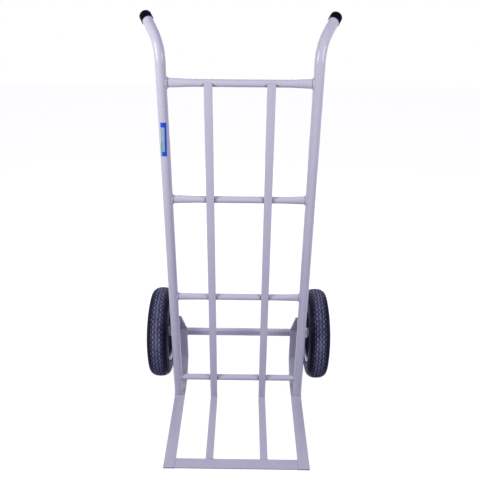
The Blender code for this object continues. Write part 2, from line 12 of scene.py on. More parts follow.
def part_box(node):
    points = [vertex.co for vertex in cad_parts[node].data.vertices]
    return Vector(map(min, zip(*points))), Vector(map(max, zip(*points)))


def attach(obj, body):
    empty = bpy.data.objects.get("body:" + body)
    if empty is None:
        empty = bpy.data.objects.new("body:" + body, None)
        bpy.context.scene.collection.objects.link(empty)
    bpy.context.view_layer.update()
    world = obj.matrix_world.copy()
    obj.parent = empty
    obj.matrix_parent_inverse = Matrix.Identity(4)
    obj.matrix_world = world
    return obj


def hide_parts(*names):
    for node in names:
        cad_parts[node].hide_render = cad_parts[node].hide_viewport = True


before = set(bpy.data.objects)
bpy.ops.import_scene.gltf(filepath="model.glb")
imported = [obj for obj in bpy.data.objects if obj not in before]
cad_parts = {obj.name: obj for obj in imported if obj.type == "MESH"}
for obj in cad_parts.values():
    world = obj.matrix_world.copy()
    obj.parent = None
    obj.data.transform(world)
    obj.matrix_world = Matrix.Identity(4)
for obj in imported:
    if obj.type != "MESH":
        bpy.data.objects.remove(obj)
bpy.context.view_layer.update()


def middle(node):
    """Centre of a CAD node's box."""
    low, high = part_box(node)
    return (low + high) / 2


# Rails and handles
RAIL_RADIUS = 0.015875
RAIL_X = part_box("right_rail")[0].x + RAIL_RADIUS
RAIL_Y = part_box("right_rail")[0].y + RAIL_RADIUS
RAIL_FOOT_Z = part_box("right_rail")[0].z
RAIL_WALL = 0.0015
RAIL_STRAIGHT_HEIGHT = 1.2335
HANDLE_BEND_RADIUS = 0.090
HANDLE_BEND_ANGLE = math.radians(57)
HANDLE_SPLAY_ANGLE = math.radians(29)
HANDLE_GRIP_LENGTH = 0.0495
HANDLE_BEND_FLATTENING = 0.035

# Plastic caps on the handles
CAP_RADIUS = 0.017775
CAP_LENGTH = 0.0285
CAP_EDGE_RADIUS = 0.006
CAP_DOME_HEIGHT = 0.0015
CAP_LIP_RADIUS = 0.0006

# Cross tubes, from the top: the name, and whether the ends are pressed
CROSS_TUBES = (("top", True), ("upper", True), ("lower", True), ("foot", False))
CROSS_TUBE_RADIUS = 0.0111
CROSS_TUBE_WALL = 0.0012
PRESSED_END_RADIUS = 0.0136
PRESSED_END_LENGTH = 0.075

# Flat bars
EASED_EDGE = 0.0009
SLAT_WIDTH = 0.0254
SLAT_THICKNESS = 0.00476
SLAT_BEND_RADIUS = 0.0075
SIDE_BAR_WIDTH = 0.0381
SIDE_BAR_THICKNESS = 0.00635
SIDE_BAR_BEND_RADIUS = 0.014
HEEL_SETBACK = 0.098
HEEL_BEND_HEIGHT = 0.060
BRACKET_BEND_HEIGHT = 0.200
BRACKET_TOP_HEIGHT = 0.350
TOE_FRONT_Y, TOE_BACK_EDGE_Y = (corner.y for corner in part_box("toe_front_bar"))
TOE_TOP_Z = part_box("toe_front_bar")[1].z
SIDE_BAR_X = middle("right_side_bar").x
BRACKET_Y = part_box("right_side_bar")[1].y - SIDE_BAR_THICKNESS / 2
SLAT_X = middle("right_slat").x
SLAT_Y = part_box("right_slat")[1].y - SLAT_THICKNESS / 2

# Painted shade in the enamel's tight corners, and its darkening towards the floor
FLOOR_FADE_HEIGHT = 0.05
CORNER_SHADE_REACH = 0.011

# Axle and what is threaded on it
AXLE_CENTRE = middle("axle")
AXLE_RADIUS = 0.0079375
AXLE_CHAMFER = 0.0012
HOUSING_CORNER_RADIUS = 0.0024
HOUSING_BORE_HALF = 0.0082375
RING_EDGE = 0.0003
PIN_WIRE_RADIUS = 0.0008
PIN_EYE_RADIUS = 0.0030
PIN_LEG_OFFSET = 0.00095
PIN_LEG_DROP = 0.0045
PIN_LEG_SPREAD = 0.0060
PIN_LEG_TIP_DROP = 0.0030
PIN_LEG_BEND_RADIUS = 0.0016

# Wheels
WHEEL_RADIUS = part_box("right_tyre")[1].z - middle("right_tyre").z
TYRE_HALF_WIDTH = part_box("right_tyre")[1].x - middle("right_tyre").x
RIM_SEAT_RADIUS = 0.1016
RIM_HALF_WIDTH = 0.029
RIM_SHEET = 0.0020
RIM_FLANGE_RADIUS = 0.1131
RIM_LIP_REACH = 0.0055
RIM_DISC_RADIUS = 0.055
RIM_DISC_OFFSET = 0.00115
RIM_SEAT_WIDTH = 0.013
RIM_BEND_RADIUS = 0.004
RIM_FLANGE_BEND_RADIUS = 0.0025
TYRE_FLANGE_CLEARANCE = 0.0008
BEAD_THICKNESS = 0.010
HUB_RADIUS = 0.020
HUB_HALF_LENGTH = 0.036
HUB_CHAMFER = 0.0012
HUB_WAIST_RADIUS = 0.0175
HUB_COLLAR_LENGTH = 0.009
HUB_BORE_RADIUS = AXLE_RADIUS * 1.6
BEARING_RADIUS = 0.0175
BEARING_WIDTH = 0.011
BEARING_RING_WALL = 0.0028
BEARING_SHIELD_DEPTH = 0.0006
BEARING_EDGE = 0.0004
BEARING_BORE_GAP = 0.0001
BOLT_CIRCLE_RADIUS = 0.037
BOLT_COUNT = 4
BOLT_SHANK_RADIUS = 0.004
BOLT_HEX_APOTHEM = 0.0065
BOLT_HEAD_HEIGHT = 0.0053
BOLT_NUT_HEIGHT = 0.0065
BOLT_THREAD_REACH = 0.0030
BOLT_THREAD_PITCH = 0.00125
BOLT_THREAD_DEPTH = 0.0006
BOLT_SEAT = 0.00245
BOLT_CHAMFER_SLOPE = 0.58
BOLT_LAND_SHARE = 0.96
VALVE_BOOT_RADIUS = 0.0052
VALVE_BOOT_LENGTH = 0.010
VALVE_STEM_RADIUS = 0.0032
VALVE_STEM_LENGTH = 0.008
VALVE_CAP_RADIUS = 0.0043
VALVE_CAP_LENGTH = 0.011
VALVE_CAP_FLUTES = 14
VALVE_CAP_FLUTE_DEPTH = 0.0003
VALVE_INNER_LENGTH = 0.005
VALVE_ROOT_SHARE = 0.8
VALVE_BOOT_TAPER_SHARE = 0.94
VALVE_BOOT_TIP_SHARE = 1.12
VALVE_CAP_EDGE_SHARE = 0.97
VALVE_CAP_TOP_SHARE = 0.8

# Half of the tyre's section from the crown down to the rim's flange, as shares of the half
# width and of the height from flange to crown
TYRE_SECTION_SHARES = ((0, 1), (0.18, 0.995), (0.45, 0.970), (0.69, 0.90), (0.86, 0.78),
                       (0.965, 0.60), (1.00, 0.39), (0.92, 0.16), (0.75, 0.02))
TYRE_CAVITY_SHARES = ((0.58, 0.81), (0.87, 0.52), (0.74, 0.13))

# Tread, measured along the section's curve from the crown's middle
TREAD_PITCHES = 58
TREAD_DEPTH = 0.0025
TREAD_HALF_WIDTH = 0.0240
TREAD_FADE = 0.005
TREAD_EDGE = 0.0005
TREAD_ROOT = 0.0004
SIDEWALL_RING_HEIGHT = 0.0005
SIDEWALL_RING_WIDTH = 0.0009
SIDEWALL_RING_PLACES = (0.0350, 0.0380, 0.0410, 0.0600)
# The middle rib's near and far edges at each share of a pitch
ZIGZAG_RIB = ((0.00, -0.0054, 0.0004), (0.40, -0.0004, 0.0054), (0.50, -0.0004, 0.0054),
              (0.90, -0.0054, 0.0004))
# Rows of blocks: near edge, far edge, then length, slant and offset as shares of a pitch
BLOCK_ROWS = ((0.0088, 0.0148, 0.64, 0.05, 0.45), (0.0184, 0.0222, 0.46, 0.08, 0.95))

# Welds. Ripples and an uneven hand swell a bead by shares of its radius
WELD_RIPPLE = 0.0021
WELD_RIPPLE_SHARE = 0.11
WELD_UNEVEN_SHARE = 0.16
WELD_UNEVEN_PER_METRE = 190
WELD_TIP_SHARE = 0.12
WELD_STEP = 0.0005
TUBE_WELD_RADIUS = 0.0028
FOOT_WELD_RADIUS = 0.0032
SLAT_WELD_RADIUS = 0.0017
SEAM_WELD_RADIUS = 0.0011
BRACKET_WELD_RADIUS = 0.0024
SLAT_WELD_RISE_SHARE = 0.6
STAY_WELD_REACH_SHARE = 0.72

# Sticker on the left rail: a bare generic one, by height and by turn from straight forward
STICKER_BOTTOM_Z = 0.959
STICKER_TOP_Z = 1.064
STICKER_HALF_TURN = math.radians(36)
STICKER_MIDDLE_TURN = math.radians(-3)
STICKER_LEAN = math.radians(13)
STICKER_BORDER = 0.0008
STICKER_FILM = 0.00012
# Where the panel starts and ends in the height, how much of the width it takes, and the
# tab's height and width
STICKER_PANEL_SHARES = (0.13, 0.86)
STICKER_PANEL_WIDTH_SHARE = 0.70
STICKER_TAB_SHARES = (0.42, 0.30)

# Studio. Each softbox has a name, a place, a target, a width, a height and its watts
FLOOR_REACH = 6.0
SOFTBOXES = (("left_softbox", (-1.42, -0.90, 1.6), (0, 0, 1.3), 0.4, 0.9, 24.8),
             ("right_softbox", (1.45, -1.10, 1.6), (0, 0, 1.3), 0.4, 0.9, 18.2),
             ("back_softbox", (0.4, 2.7, 1.0), (0, 0, 0.8), 1.6, 1.6, 16))
IMAGE_WIDTH_PX = 480
FOCAL_PX = 546.5
CAMERA_PLACE = (0.0162, RAIL_Y - 1.6072, 1.4819)
CAMERA_PITCH = math.radians(26.785)
CAMERA_YAW = math.radians(-0.449)
CAMERA_ROLL = math.radians(0.426)

# Facets
TUBE_SIDES = 48
WHEEL_SIDES = 132
SMALL_SIDES = 48
WIRE_SIDES = 12
BEND_STEPS = 24
CORNER_STEPS = 6
EDGE_STEPS = 3
CURVE_STEPS = 12
GROOVE_STEPS = 10
SHORT_BEAD_STEPS = 6
# The most of an edge that one rounded corner may take
CORNER_EDGE_SHARE = 0.45
SMOOTH_ANGLE = math.radians(32)

AXIS_X = Vector((1, 0, 0))
AXIS_Y = Vector((0, 1, 0))
AXIS_Z = Vector((0, 0, 1))
SIDES = (("left", -1), ("right", 1))


# Materials


def linear(hex_code):
    """An sRGB hex colour as the linear colour that a shader takes."""
    shares = [int(hex_code[i:i + 2], 16) / 255 for i in (1, 3, 5)]
    return tuple(s / 12.92 if s <= 0.04045 else ((s + 0.055) / 1.055) ** 2.4
                 for s in shares) + (1,)


def in_use(sockets):
    """The sockets that a node's settings leave in use, in their order."""
    return [socket for socket in sockets if socket.enabled]


def connect(tree, source, socket):
    """Link a socket to another one, or to a node's first output."""
    if isinstance(source, bpy.types.Node):
        source = in_use(source.outputs)[0]
    tree.links.new(source, socket)


def add_node(tree, kind, inputs=(), **settings):
    """A node with its settings, and its inputs set or linked, by name or in their order."""
    node = tree.nodes.new("ShaderNode" + kind)
    for name, value in settings.items():
        setattr(node, name, value)
    if isinstance(inputs, dict):
        pairs = [(node.inputs[name], value) for name, value in inputs.items()]
    else:
        pairs = zip(in_use(node.inputs), inputs)
    for socket, value in pairs:
        if isinstance(value, (bpy.types.Node, bpy.types.NodeSocket)):
            connect(tree, value, socket)
        else:
            socket.default_value = value
    return node


def new_material(name, **sockets):
    """A material's node tree and its main shader, with constant sockets set on it."""
    material = bpy.data.materials.new(name)
    material.use_nodes = True
    tree = material.node_tree
    shader = tree.nodes["Principled BSDF"]
    for socket, value in sockets.items():
        shader.inputs[socket.replace("_", " ")].default_value = value
    return material, tree, shader


def lay_finish(tree, shader, colour, gloss, grain, strength, depth):
    """Link a finish's colour, roughness and fine relief to its shader."""
    relief = add_node(tree, "Bump", {"Height": grain, "Strength": strength, "Distance": depth})
    for name, source in (("Base Color", colour), ("Roughness", gloss), ("Normal", relief)):
        connect(tree, source, shader.inputs[name])


def distance_from_axle(tree, place):
    """How far each point of a wheel's piece lies from the axle."""
    flat = add_node(tree, "VectorMath", (place, (0, 1, 1)), operation="MULTIPLY")
    return add_node(tree, "VectorMath", (flat,), operation="LENGTH")


def share_in_view(tree):
    """1 where a camera, a mirror or glass sees the room, and 0 where the room gives light."""
    rays = add_node(tree, "LightPath").outputs
    in_mirror = add_node(tree, "Math", (rays["Is Camera Ray"], rays["Is Glossy Ray"]),
                         operation="ADD")
    return add_node(tree, "Math", (in_mirror, rays["Is Transmission Ray"]), operation="ADD",
                    use_clamp=True)


# How many rings the wave pattern has in a metre at a scale of 1
WAVE_RINGS_PER_METRE = 10 / math.pi


def per_metre(size_mm):
    """How many of a pattern's features of that size fit in a metre."""
    return 1000 / size_mm


def make_lavender_enamel():
    """Stoved enamel sprayed on welded steel: a smooth, soft gloss with slight orange peel,
    a little cloudier in broad patches where the coat is thinner."""
    material, tree, shader = new_material("lavender_stoved_enamel", Metallic=0.0, IOR=1.5)
    place = add_node(tree, "TexCoord").outputs["Object"]
    cloud = add_node(tree, "TexNoise", {"Vector": place, "Scale": per_metre(120), "Detail": 3.0})
    tone = add_node(tree, "Mix", (cloud, linear("#C6C5C7"), linear("#CFCECF")),
                    data_type="RGBA")
    scuff = add_node(tree, "TexNoise", {"Vector": place, "Scale": per_metre(9), "Detail": 6.0,
                                        "Roughness": 0.7})
    scuff_share = add_node(tree, "MapRange", (scuff, 0.62, 0.74, 0.0, 0.16))
    wear_and_highlight = add_node(tree, "Mix", (scuff_share, tone, linear("#A9A7BD")), data_type="RGBA")
    # Darker towards the floor; and below the toe's top, most below half its height, painted
    # shade darkens the toe's front face and the lowest edges
    height = add_node(tree, "SeparateXYZ", (place,)).outputs["Z"]
    tone_share = add_node(tree, "MapRange", (height, 0.0, FLOOR_FADE_HEIGHT, 0.1, 0.0))
    painted_toe_shade = add_node(tree, "MapRange", (height, TOE_TOP_Z / 2, TOE_TOP_Z - EASED_EDGE / 2,
                                         0.9, 0.0))
    # Painted shade: ambient occlusion finds the tight corners between the pieces, which are
    # darkened
    open_air = add_node(tree, "AmbientOcclusion", {"Distance": CORNER_SHADE_REACH}, samples=8)
    corner = add_node(tree, "MapRange", (open_air.outputs["AO"], 0.45, 0.92, 1.0, 0.0))
    low = add_node(tree, "Math", (tone_share, painted_toe_shade), operation="MAXIMUM")
    painted_shade_and_floor_fade = add_node(tree, "Math", (low, corner), operation="MAXIMUM")
    # The painted shade and the fade towards the floor mix the tone towards a dark violet
    darkened_tone = add_node(tree, "Mix", (painted_shade_and_floor_fade, wear_and_highlight, linear("#4A465C")), data_type="RGBA")
    gloss = add_node(tree, "MapRange", (scuff, 0.3, 0.7, 0.22, 0.3))
    # Orange peel is about 1 mm wide; it is drawn at 5 mm, which is as fine as shows
    peel = add_node(tree, "TexNoise", {"Vector": place, "Scale": per_metre(5), "Detail": 2.0})
    lay_finish(tree, shader, darkened_tone, gloss, peel, 0.05, 0.0005)
    return material


def make_weld_enamel():
    """The same enamel over rippled weld metal, patches of it whiter: a painted highlight on the
    beads.
    """
    material, tree, shader = new_material("enamelled_weld", Metallic=0.0, IOR=1.5)
    place = add_node(tree, "TexCoord").outputs["Object"]
    spatter_and_highlight = add_node(tree, "TexNoise", {"Vector": place, "Scale": per_metre(2.5),
                                          "Detail": 5.0})
    tone = add_node(tree, "Mix", (spatter_and_highlight, linear("#BDBAC6"), linear("#DAD8E2")),
                    data_type="RGBA")
    gloss = add_node(tree, "MapRange", (spatter_and_highlight, 0.0, 1.0, 0.28, 0.45))
    lay_finish(tree, shader, tone, gloss, spatter_and_highlight, 0.35, 0.0005)
    return material


def make_cap_plastic():
    """Moulded black polyethylene: waxy, with a fine spark grain and faint scuffs."""
    material, tree, shader = new_material("black_moulded_polyethylene", Metallic=0.0, IOR=1.51,
                                          Specular_IOR_Level=0.01)
    place = add_node(tree, "TexCoord").outputs["Object"]
    scuff = add_node(tree, "TexNoise", {"Vector": place, "Scale": per_metre(8), "Detail": 5.0})
    tone = add_node(tree, "Mix", (scuff, linear("#090717"), linear("#120F22")),
                    data_type="RGBA")
    gloss = add_node(tree, "MapRange", (scuff, 0.0, 1.0, 0.48, 0.62))
    # Spark grain is about 0.2 mm wide; it is drawn at 1.2 mm, so that a close view shows it
    grain = add_node(tree, "TexNoise", {"Vector": place, "Scale": per_metre(1.2), "Detail": 3.0})
    lay_finish(tree, shader, tone, gloss, grain, 0.18, 0.0003)
    return material


def make_tyre_rubber():
    """Vulcanised black rubber: matt, with a grey bloom on the tread, lighter on the crown as a
    painted highlight and darker in the grooves as painted shade, and a smoother, slightly
    waxy sidewall."""
    material, tree, shader = new_material("vulcanised_rubber", Metallic=0.0, IOR=1.52,
                                          Specular_IOR_Level=0.02,
                                          Specular_Tint=linear("#8C90D0"),
                                          Sheen_Weight=0.16, Sheen_Roughness=0.3,
                                          Sheen_Tint=linear("#8088F0"))
    place = add_node(tree, "TexCoord").outputs["Object"]
    # The bloom lies on the blocks' tops. Ambient occlusion darkens the grooves between them as
    # painted shade, and the crown is lightened as a painted highlight
    open_air = add_node(tree, "AmbientOcclusion", {"Distance": 2 * TREAD_DEPTH}, samples=8)
    groove_shade = add_node(tree, "MapRange", (open_air.outputs["AO"], 0.66, 1.0, 0.25, 1.0))
    crown = add_node(tree, "MapRange", (distance_from_axle(tree, place),
                                        WHEEL_RADIUS - 2.4 * TREAD_DEPTH,
                                        WHEEL_RADIUS - TREAD_DEPTH / 4, 0.10, groove_shade))
    tone_share = add_node(tree, "TexNoise", {"Vector": place, "Scale": per_metre(14), "Detail": 6.0,
                                       "Roughness": 0.65})
    bloom_and_sheen = add_node(tree, "Math", (crown, tone_share), operation="MULTIPLY")
    tone = add_node(tree, "Mix", (bloom_and_sheen, linear("#0A0A1C"), linear("#A8ABC2")),
                    data_type="RGBA")
    gloss = add_node(tree, "MapRange", (crown, 0.0, 1.0, 0.34, 0.62))
    # The mould's grain is about 0.5 mm wide; it is drawn at 1.6 mm, so that a close view
    # shows it
    grain = add_node(tree, "TexNoise", {"Vector": place, "Scale": per_metre(1.6), "Detail": 3.0})
    lay_finish(tree, shader, tone, gloss, grain, 0.22, 0.0004)
    return material


def make_rim_enamel():
    """Dark enamel baked on pressed steel: a little dust in the dish, and a near-white painted
    highlight, in patches, along the flange's curled edge."""
    material, tree, shader = new_material("dark_baked_enamel", IOR=1.5,
                                          Specular_IOR_Level=0.4,
                                          Specular_Tint=linear("#B0B4F0"))
    place = add_node(tree, "TexCoord").outputs["Object"]
    # Painted highlight: the flange's curled lip is mixed towards near white, in patches
    edge = add_node(tree, "MapRange", (distance_from_axle(tree, place),
                                       RIM_FLANGE_RADIUS - 2.6 * RIM_SHEET,
                                       RIM_FLANGE_RADIUS - 2 * RIM_SHEET, 0.0, 1.0))
    tone_share = add_node(tree, "TexNoise", {"Vector": place, "Scale": per_metre(22), "Detail": 6.0,
                                       "Roughness": 0.6})
    lip_highlight_patches = add_node(tree, "MapRange", (tone_share, 0.35, 0.65, 0.55, 1.0))
    painted_lip_highlight = add_node(tree, "Math", (edge, lip_highlight_patches), operation="MULTIPLY")
    tone = add_node(tree, "Mix", (tone_share, linear("#0D0E17"), linear("#25273C")),
                    data_type="RGBA")
    wear_and_highlight = add_node(tree, "Mix", (painted_lip_highlight, tone, linear("#F2F3FF")), data_type="RGBA")
    gloss = add_node(tree, "MapRange", (tone_share, 0.0, 1.0, 0.22, 0.34))
    lay_finish(tree, shader, wear_and_highlight, gloss, tone_share, 0.12, 0.0005)
    return material


def make_plated_steel(name, pale, dark, ring_mm, rough_low, rough_high):
    """Steel turned or ground and plated: concentric tool marks about the wheel's axis and a
    slightly uneven bright film. Tool marks are finer than 0.3 mm; they are drawn as coarse
    as a close view needs to show them."""
    material, tree, shader = new_material(name, Metallic=1.0)
    place = add_node(tree, "TexCoord").outputs["Object"]
    film = add_node(tree, "TexNoise", {"Vector": place, "Scale": per_metre(7), "Detail": 5.0})
    tone = add_node(tree, "Mix", (film, linear(dark), linear(pale)), data_type="RGBA")
    gloss = add_node(tree, "MapRange", (film, 0.3, 0.7, rough_low, rough_high))
    marks = add_node(tree, "TexWave", {"Vector": place, "Distortion": 0.6,
                                       "Scale": per_metre(ring_mm) / WAVE_RINGS_PER_METRE},
                     wave_type="RINGS", rings_direction="X")
    lay_finish(tree, shader, tone, gloss, marks.outputs["Fac"], 0.12, 0.0002)
    return material


def make_sticker_film(name, pale, dark):
    """Printed vinyl film: an even colour, a clean gloss and slight waves where it was
    smoothed down by hand."""
    material, tree, shader = new_material(name, Metallic=0.0, IOR=1.46)
    place = add_node(tree, "TexCoord").outputs["Object"]
    wave = add_node(tree, "TexNoise", {"Vector": place, "Scale": per_metre(16), "Detail": 4.0})
    tone = add_node(tree, "Mix", (wave, linear(dark), linear(pale)), data_type="RGBA")
    gloss = add_node(tree, "MapRange", (wave, 0.0, 1.0, 0.22, 0.34))
    lay_finish(tree, shader, tone, gloss, wave, 0.08, 0.0004)
    return material


def make_studio_paper():
    """Matt pale paper. A camera or a mirror sees it glow to white, less its soft shadow."""
    material, tree, shader = new_material("matt_studio_paper")
    tree.nodes.remove(shader)
    paper = add_node(tree, "BsdfDiffuse", (linear("#6B6894"),))
    faint = add_node(tree, "BsdfDiffuse", (linear("#97979A"),))
    glow = add_node(tree, "Emission", {"Strength": 0.92})
    lit = add_node(tree, "AddShader", (faint, glow))
    both = add_node(tree, "MixShader", (share_in_view(tree), paper, lit))
    connect(tree, both, tree.nodes["Material Output"].inputs["Surface"])
    return material


# Mesh tools


def loop_round(centre, across, up, radius_across, radius_up, sides):
    """Points round a centre, in the plane of two unit vectors."""
    angles = [math.tau * i / sides for i in range(sides)]
    return [centre + across * (radius_across * math.cos(a)) + up * (radius_up * math.sin(a))
            for a in angles]


def skin(loops, closed, body=None):
    """A closed body through a row of loops, new or added to another. One point is a tip."""
    body = body or bmesh.new()
    rows = [[body.verts.new(point) for point in loop] for loop in loops]
    pairs = list(zip(rows, rows[1:]))
    if closed:
        pairs.append((rows[-1], rows[0]))
    else:
        for end in (rows[0], rows[-1]):
            if len(end) > 1:
                body.faces.new(end)
    for first, second in pairs:
        count = max(len(first), len(second))
        for i in range(count):
            j = (i + 1) % count
            corners = (first[i % len(first)], first[j % len(first)],
                       second[j % len(second)], second[i % len(second)])
            body.faces.new(tuple(dict.fromkeys(corners)))
    return body


def turned(profile, sides, closed, axis=AXIS_X, across=AXIS_Y, origin=Vector(), body=None):
    """A body turned round an axis from (along, radius) points."""
    up = axis.cross(across)
    loops = []
    for along, radius in profile:
        centre = origin + axis * along
        loops.append(loop_round(centre, across, up, radius, radius, sides)
                     if radius > 0 else [centre])
    return skin(loops, closed, body)


def rounded(points, radius):
    """A closed outline with each corner cut to a small arc, as (along, radius) points."""
    result = []
    corners = [Vector(p) for p in points]
    for i, corner in enumerate(corners):
        back = corners[i - 1] - corner
        ahead = corners[(i + 1) % len(corners)] - corner
        reach = min(radius, back.length * CORNER_EDGE_SHARE, ahead.length * CORNER_EDGE_SHARE)
        start, end = corner + back.normalized() * reach, corner + ahead.normalized() * reach
        for step in range(EDGE_STEPS + 1):
            t = step / EDGE_STEPS
            result.append(tuple(start * (1 - t) ** 2 + corner * (2 * t * (1 - t))
                                + end * t ** 2))
    return result


def rounded_rectangle(width, height, corner_radius, steps=EDGE_STEPS):
    """A closed outline with round corners, as (across, up) points about its middle."""
    points = []
    for quarter, (side, level) in enumerate(((1, 1), (-1, 1), (-1, -1), (1, -1))):
        for i in range(steps + 1):
            angle = math.pi / 2 * (quarter + i / steps)
            points.append((side * (width / 2 - corner_radius) + corner_radius * math.cos(angle),
                           level * (height / 2 - corner_radius)
                           + corner_radius * math.sin(angle)))
    return points


def add_piece(name, body, material, ride_body, nodes=(), location=(0, 0, 0)):
    """Put a finished body in the scene, riding on a CAD body, in place of CAD nodes."""
    bmesh.ops.recalc_face_normals(body, faces=body.faces)
    mesh = bpy.data.meshes.new(name)
    body.to_mesh(mesh)
    body.free()
    mesh.materials.append(material)
    mesh.shade_smooth()
    mesh.set_sharp_from_angle(angle=SMOOTH_ANGLE)
    piece = bpy.data.objects.new(name, mesh)
    bpy.context.collection.objects.link(piece)
    piece.location = location
    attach(piece, ride_body)
    if nodes:
        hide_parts(*nodes)


def bent_path(corners, bend_radius):
    """Stations (point, direction) along straight runs in a plane, joined by round bends."""
    stations = [(corners[0], (corners[1] - corners[0]).normalized())]
    for before, corner, after in zip(corners, corners[1:], corners[2:]):
        way_in = (corner - before).normalized()
        way_out = (after - corner).normalized()
        turn = math.atan2(way_in.x * way_out.y - way_in.y * way_out.x, way_in.dot(way_out))
        setback = bend_radius * math.tan(abs(turn) / 2)
        normal = Vector((-way_in.y, way_in.x)) * math.copysign(bend_radius, turn)
        start = corner - way_in * setback
        for i in range(CORNER_STEPS + 1):
            swing = Matrix.Rotation(turn * i / CORNER_STEPS, 2)
            stations.append((start + normal - swing @ normal, swing @ way_in))
    stations.append((corners[-1], (corners[-1] - corners[-2]).normalized()))
    return stations


def smooth_curve(points):
    """A curve through points of any size, with points between them."""
    ends = [points[0] * 2 - points[1]] + points + [points[-1] * 2 - points[-2]]
    curve = []
    for a, b, c, d in zip(ends, ends[1:], ends[2:], ends[3:]):
        for i in range(CURVE_STEPS):
            t = i / CURVE_STEPS
            curve.append((b * 2 + (c - a) * t + (a * 2 - b * 5 + c * 4 - d) * t ** 2
                          + (b * 3 - a - c * 3 + d) * t ** 3) / 2)
    return curve + [points[-1]]


# Frame pieces


def handle_directions(side):
    """Unit vectors of one handle: straight out from the rail, and across that."""
    out = Vector((side * math.sin(HANDLE_SPLAY_ANGLE), math.cos(HANDLE_SPLAY_ANGLE), 0))
    across = Vector((side * math.cos(HANDLE_SPLAY_ANGLE), -math.sin(HANDLE_SPLAY_ANGLE), 0))
    return out, across


def handle_lip():
    """How far out and how high the cap's lip lies on the handle's centre line."""
    run = (HANDLE_BEND_RADIUS * (1 - math.cos(HANDLE_BEND_ANGLE))
           + HANDLE_GRIP_LENGTH * math.sin(HANDLE_BEND_ANGLE))
    height = (RAIL_STRAIGHT_HEIGHT + HANDLE_BEND_RADIUS * math.sin(HANDLE_BEND_ANGLE)
              + HANDLE_GRIP_LENGTH * math.cos(HANDLE_BEND_ANGLE))
    return run, height


def make_rail(side):
    """A hollow rail. Its bend is slightly flattened, as a rotary bender leaves it."""
    out, across = handle_directions(side)
    foot = Vector((side * RAIL_X, RAIL_Y, 0))
    stations = [(0, RAIL_FOOT_Z, 0, 0), (0, RAIL_STRAIGHT_HEIGHT / 2, 0, 0)]
    for i in range(BEND_STEPS + 1):
        tilt = HANDLE_BEND_ANGLE * i / BEND_STEPS
        squeeze = HANDLE_BEND_FLATTENING * math.sin(math.pi * i / BEND_STEPS)
        stations.append((HANDLE_BEND_RADIUS * (1 - math.cos(tilt)),
                         RAIL_STRAIGHT_HEIGHT + HANDLE_BEND_RADIUS * math.sin(tilt),
                         tilt, squeeze))
    run, height = handle_lip()
    inside_cap = CAP_LENGTH - CAP_DOME_HEIGHT - 2 * RAIL_WALL
    stations.append((run + inside_cap * math.sin(HANDLE_BEND_ANGLE),
                     height + inside_cap * math.cos(HANDLE_BEND_ANGLE), HANDLE_BEND_ANGLE, 0))

    def wall(radius):
        loops = []
        for reach, level, tilt, squeeze in stations:
            centre = foot + out * reach + AXIS_Z * level
            back = out * math.cos(tilt) - AXIS_Z * math.sin(tilt)
            loops.append(loop_round(centre, across, back, radius, radius * (1 - squeeze),
                                    TUBE_SIDES))
        return loops

    return skin(wall(RAIL_RADIUS) + wall(RAIL_RADIUS - RAIL_WALL)[::-1], closed=True)


def make_handle_cap(side):
    """A moulded cup with a round edge, a domed end and a soft lip."""
    out, across = handle_directions(side)
    run, height = handle_lip()
    origin = Vector((side * RAIL_X, RAIL_Y, 0)) + out * run + AXIS_Z * height
    axis = out * math.sin(HANDLE_BEND_ANGLE) + AXIS_Z * math.cos(HANDLE_BEND_ANGLE)
    shoulder = CAP_LENGTH - CAP_DOME_HEIGHT
    dome_edge = CAP_RADIUS - CAP_EDGE_RADIUS
    profile = [(CAP_LENGTH, 0)]
    for i in range(1, CORNER_STEPS + 1):
        share = i / CORNER_STEPS
        profile.append((CAP_LENGTH - CAP_DOME_HEIGHT * share ** 2, dome_edge * share))
    for i in range(1, CORNER_STEPS + 1):
        angle = math.pi / 2 * (1 - i / CORNER_STEPS)
        profile.append((shoulder - CAP_EDGE_RADIUS * (1 - math.sin(angle)),
                        CAP_RADIUS - CAP_EDGE_RADIUS * (1 - math.cos(angle))))
    profile += [(CAP_LIP_RADIUS, CAP_RADIUS), (0, CAP_RADIUS - CAP_LIP_RADIUS),
                (0, RAIL_RADIUS)]
    inner_end = shoulder - 2 * RAIL_WALL
    profile += [(inner_end, RAIL_RADIUS), (inner_end, 0)]
    return turned(profile, TUBE_SIDES, closed=False, axis=axis, across=across, origin=origin)


def tube_end_halves(pressed):
    """Half the height and half the depth of a cross tube's end. Pressing keeps its girth."""
    up = PRESSED_END_RADIUS if pressed else CROSS_TUBE_RADIUS
    return up, math.sqrt(2 * CROSS_TUBE_RADIUS ** 2 - up ** 2)


def tube_section(height, up, deep, share=0.0):
    """A loop round a cross tube, from its saddle on the right rail, share 0, to where its
    flare ends, share 1."""
    loop = []
    for point in loop_round(Vector(), AXIS_Y, AXIS_Z, deep, up, TUBE_SIDES):
        face = RAIL_X - math.sqrt(RAIL_RADIUS ** 2 - point.y ** 2)
        point.x = face + (RAIL_X - RAIL_RADIUS - PRESSED_END_LENGTH - face) * share
        loop.append(point + Vector((0, RAIL_Y, height)))
    return loop


def mirrored(loop):
    """The same points on the other side of the truck."""
    return [Vector((-p.x, p.y, p.z)) for p in loop]


def make_cross_tube(height, pressed):
    """A tube between the rails whose ends may be pressed taller, with a smooth flare."""
    end_up, end_deep = tube_end_halves(pressed)
    flare_steps = BEND_STEPS // 2

    def wall(inset):
        half = []
        for step in range(flare_steps + 1):
            share = step / flare_steps
            ease = share * share * (3 - 2 * share)
            up = end_up + (CROSS_TUBE_RADIUS - end_up) * ease - inset
            deep = end_deep + (CROSS_TUBE_RADIUS - end_deep) * ease - inset
            half.append(tube_section(height, up, deep, share))
        return half + [mirrored(loop) for loop in reversed(half)]

    return skin(wall(0) + wall(CROSS_TUBE_WALL)[::-1], closed=True)


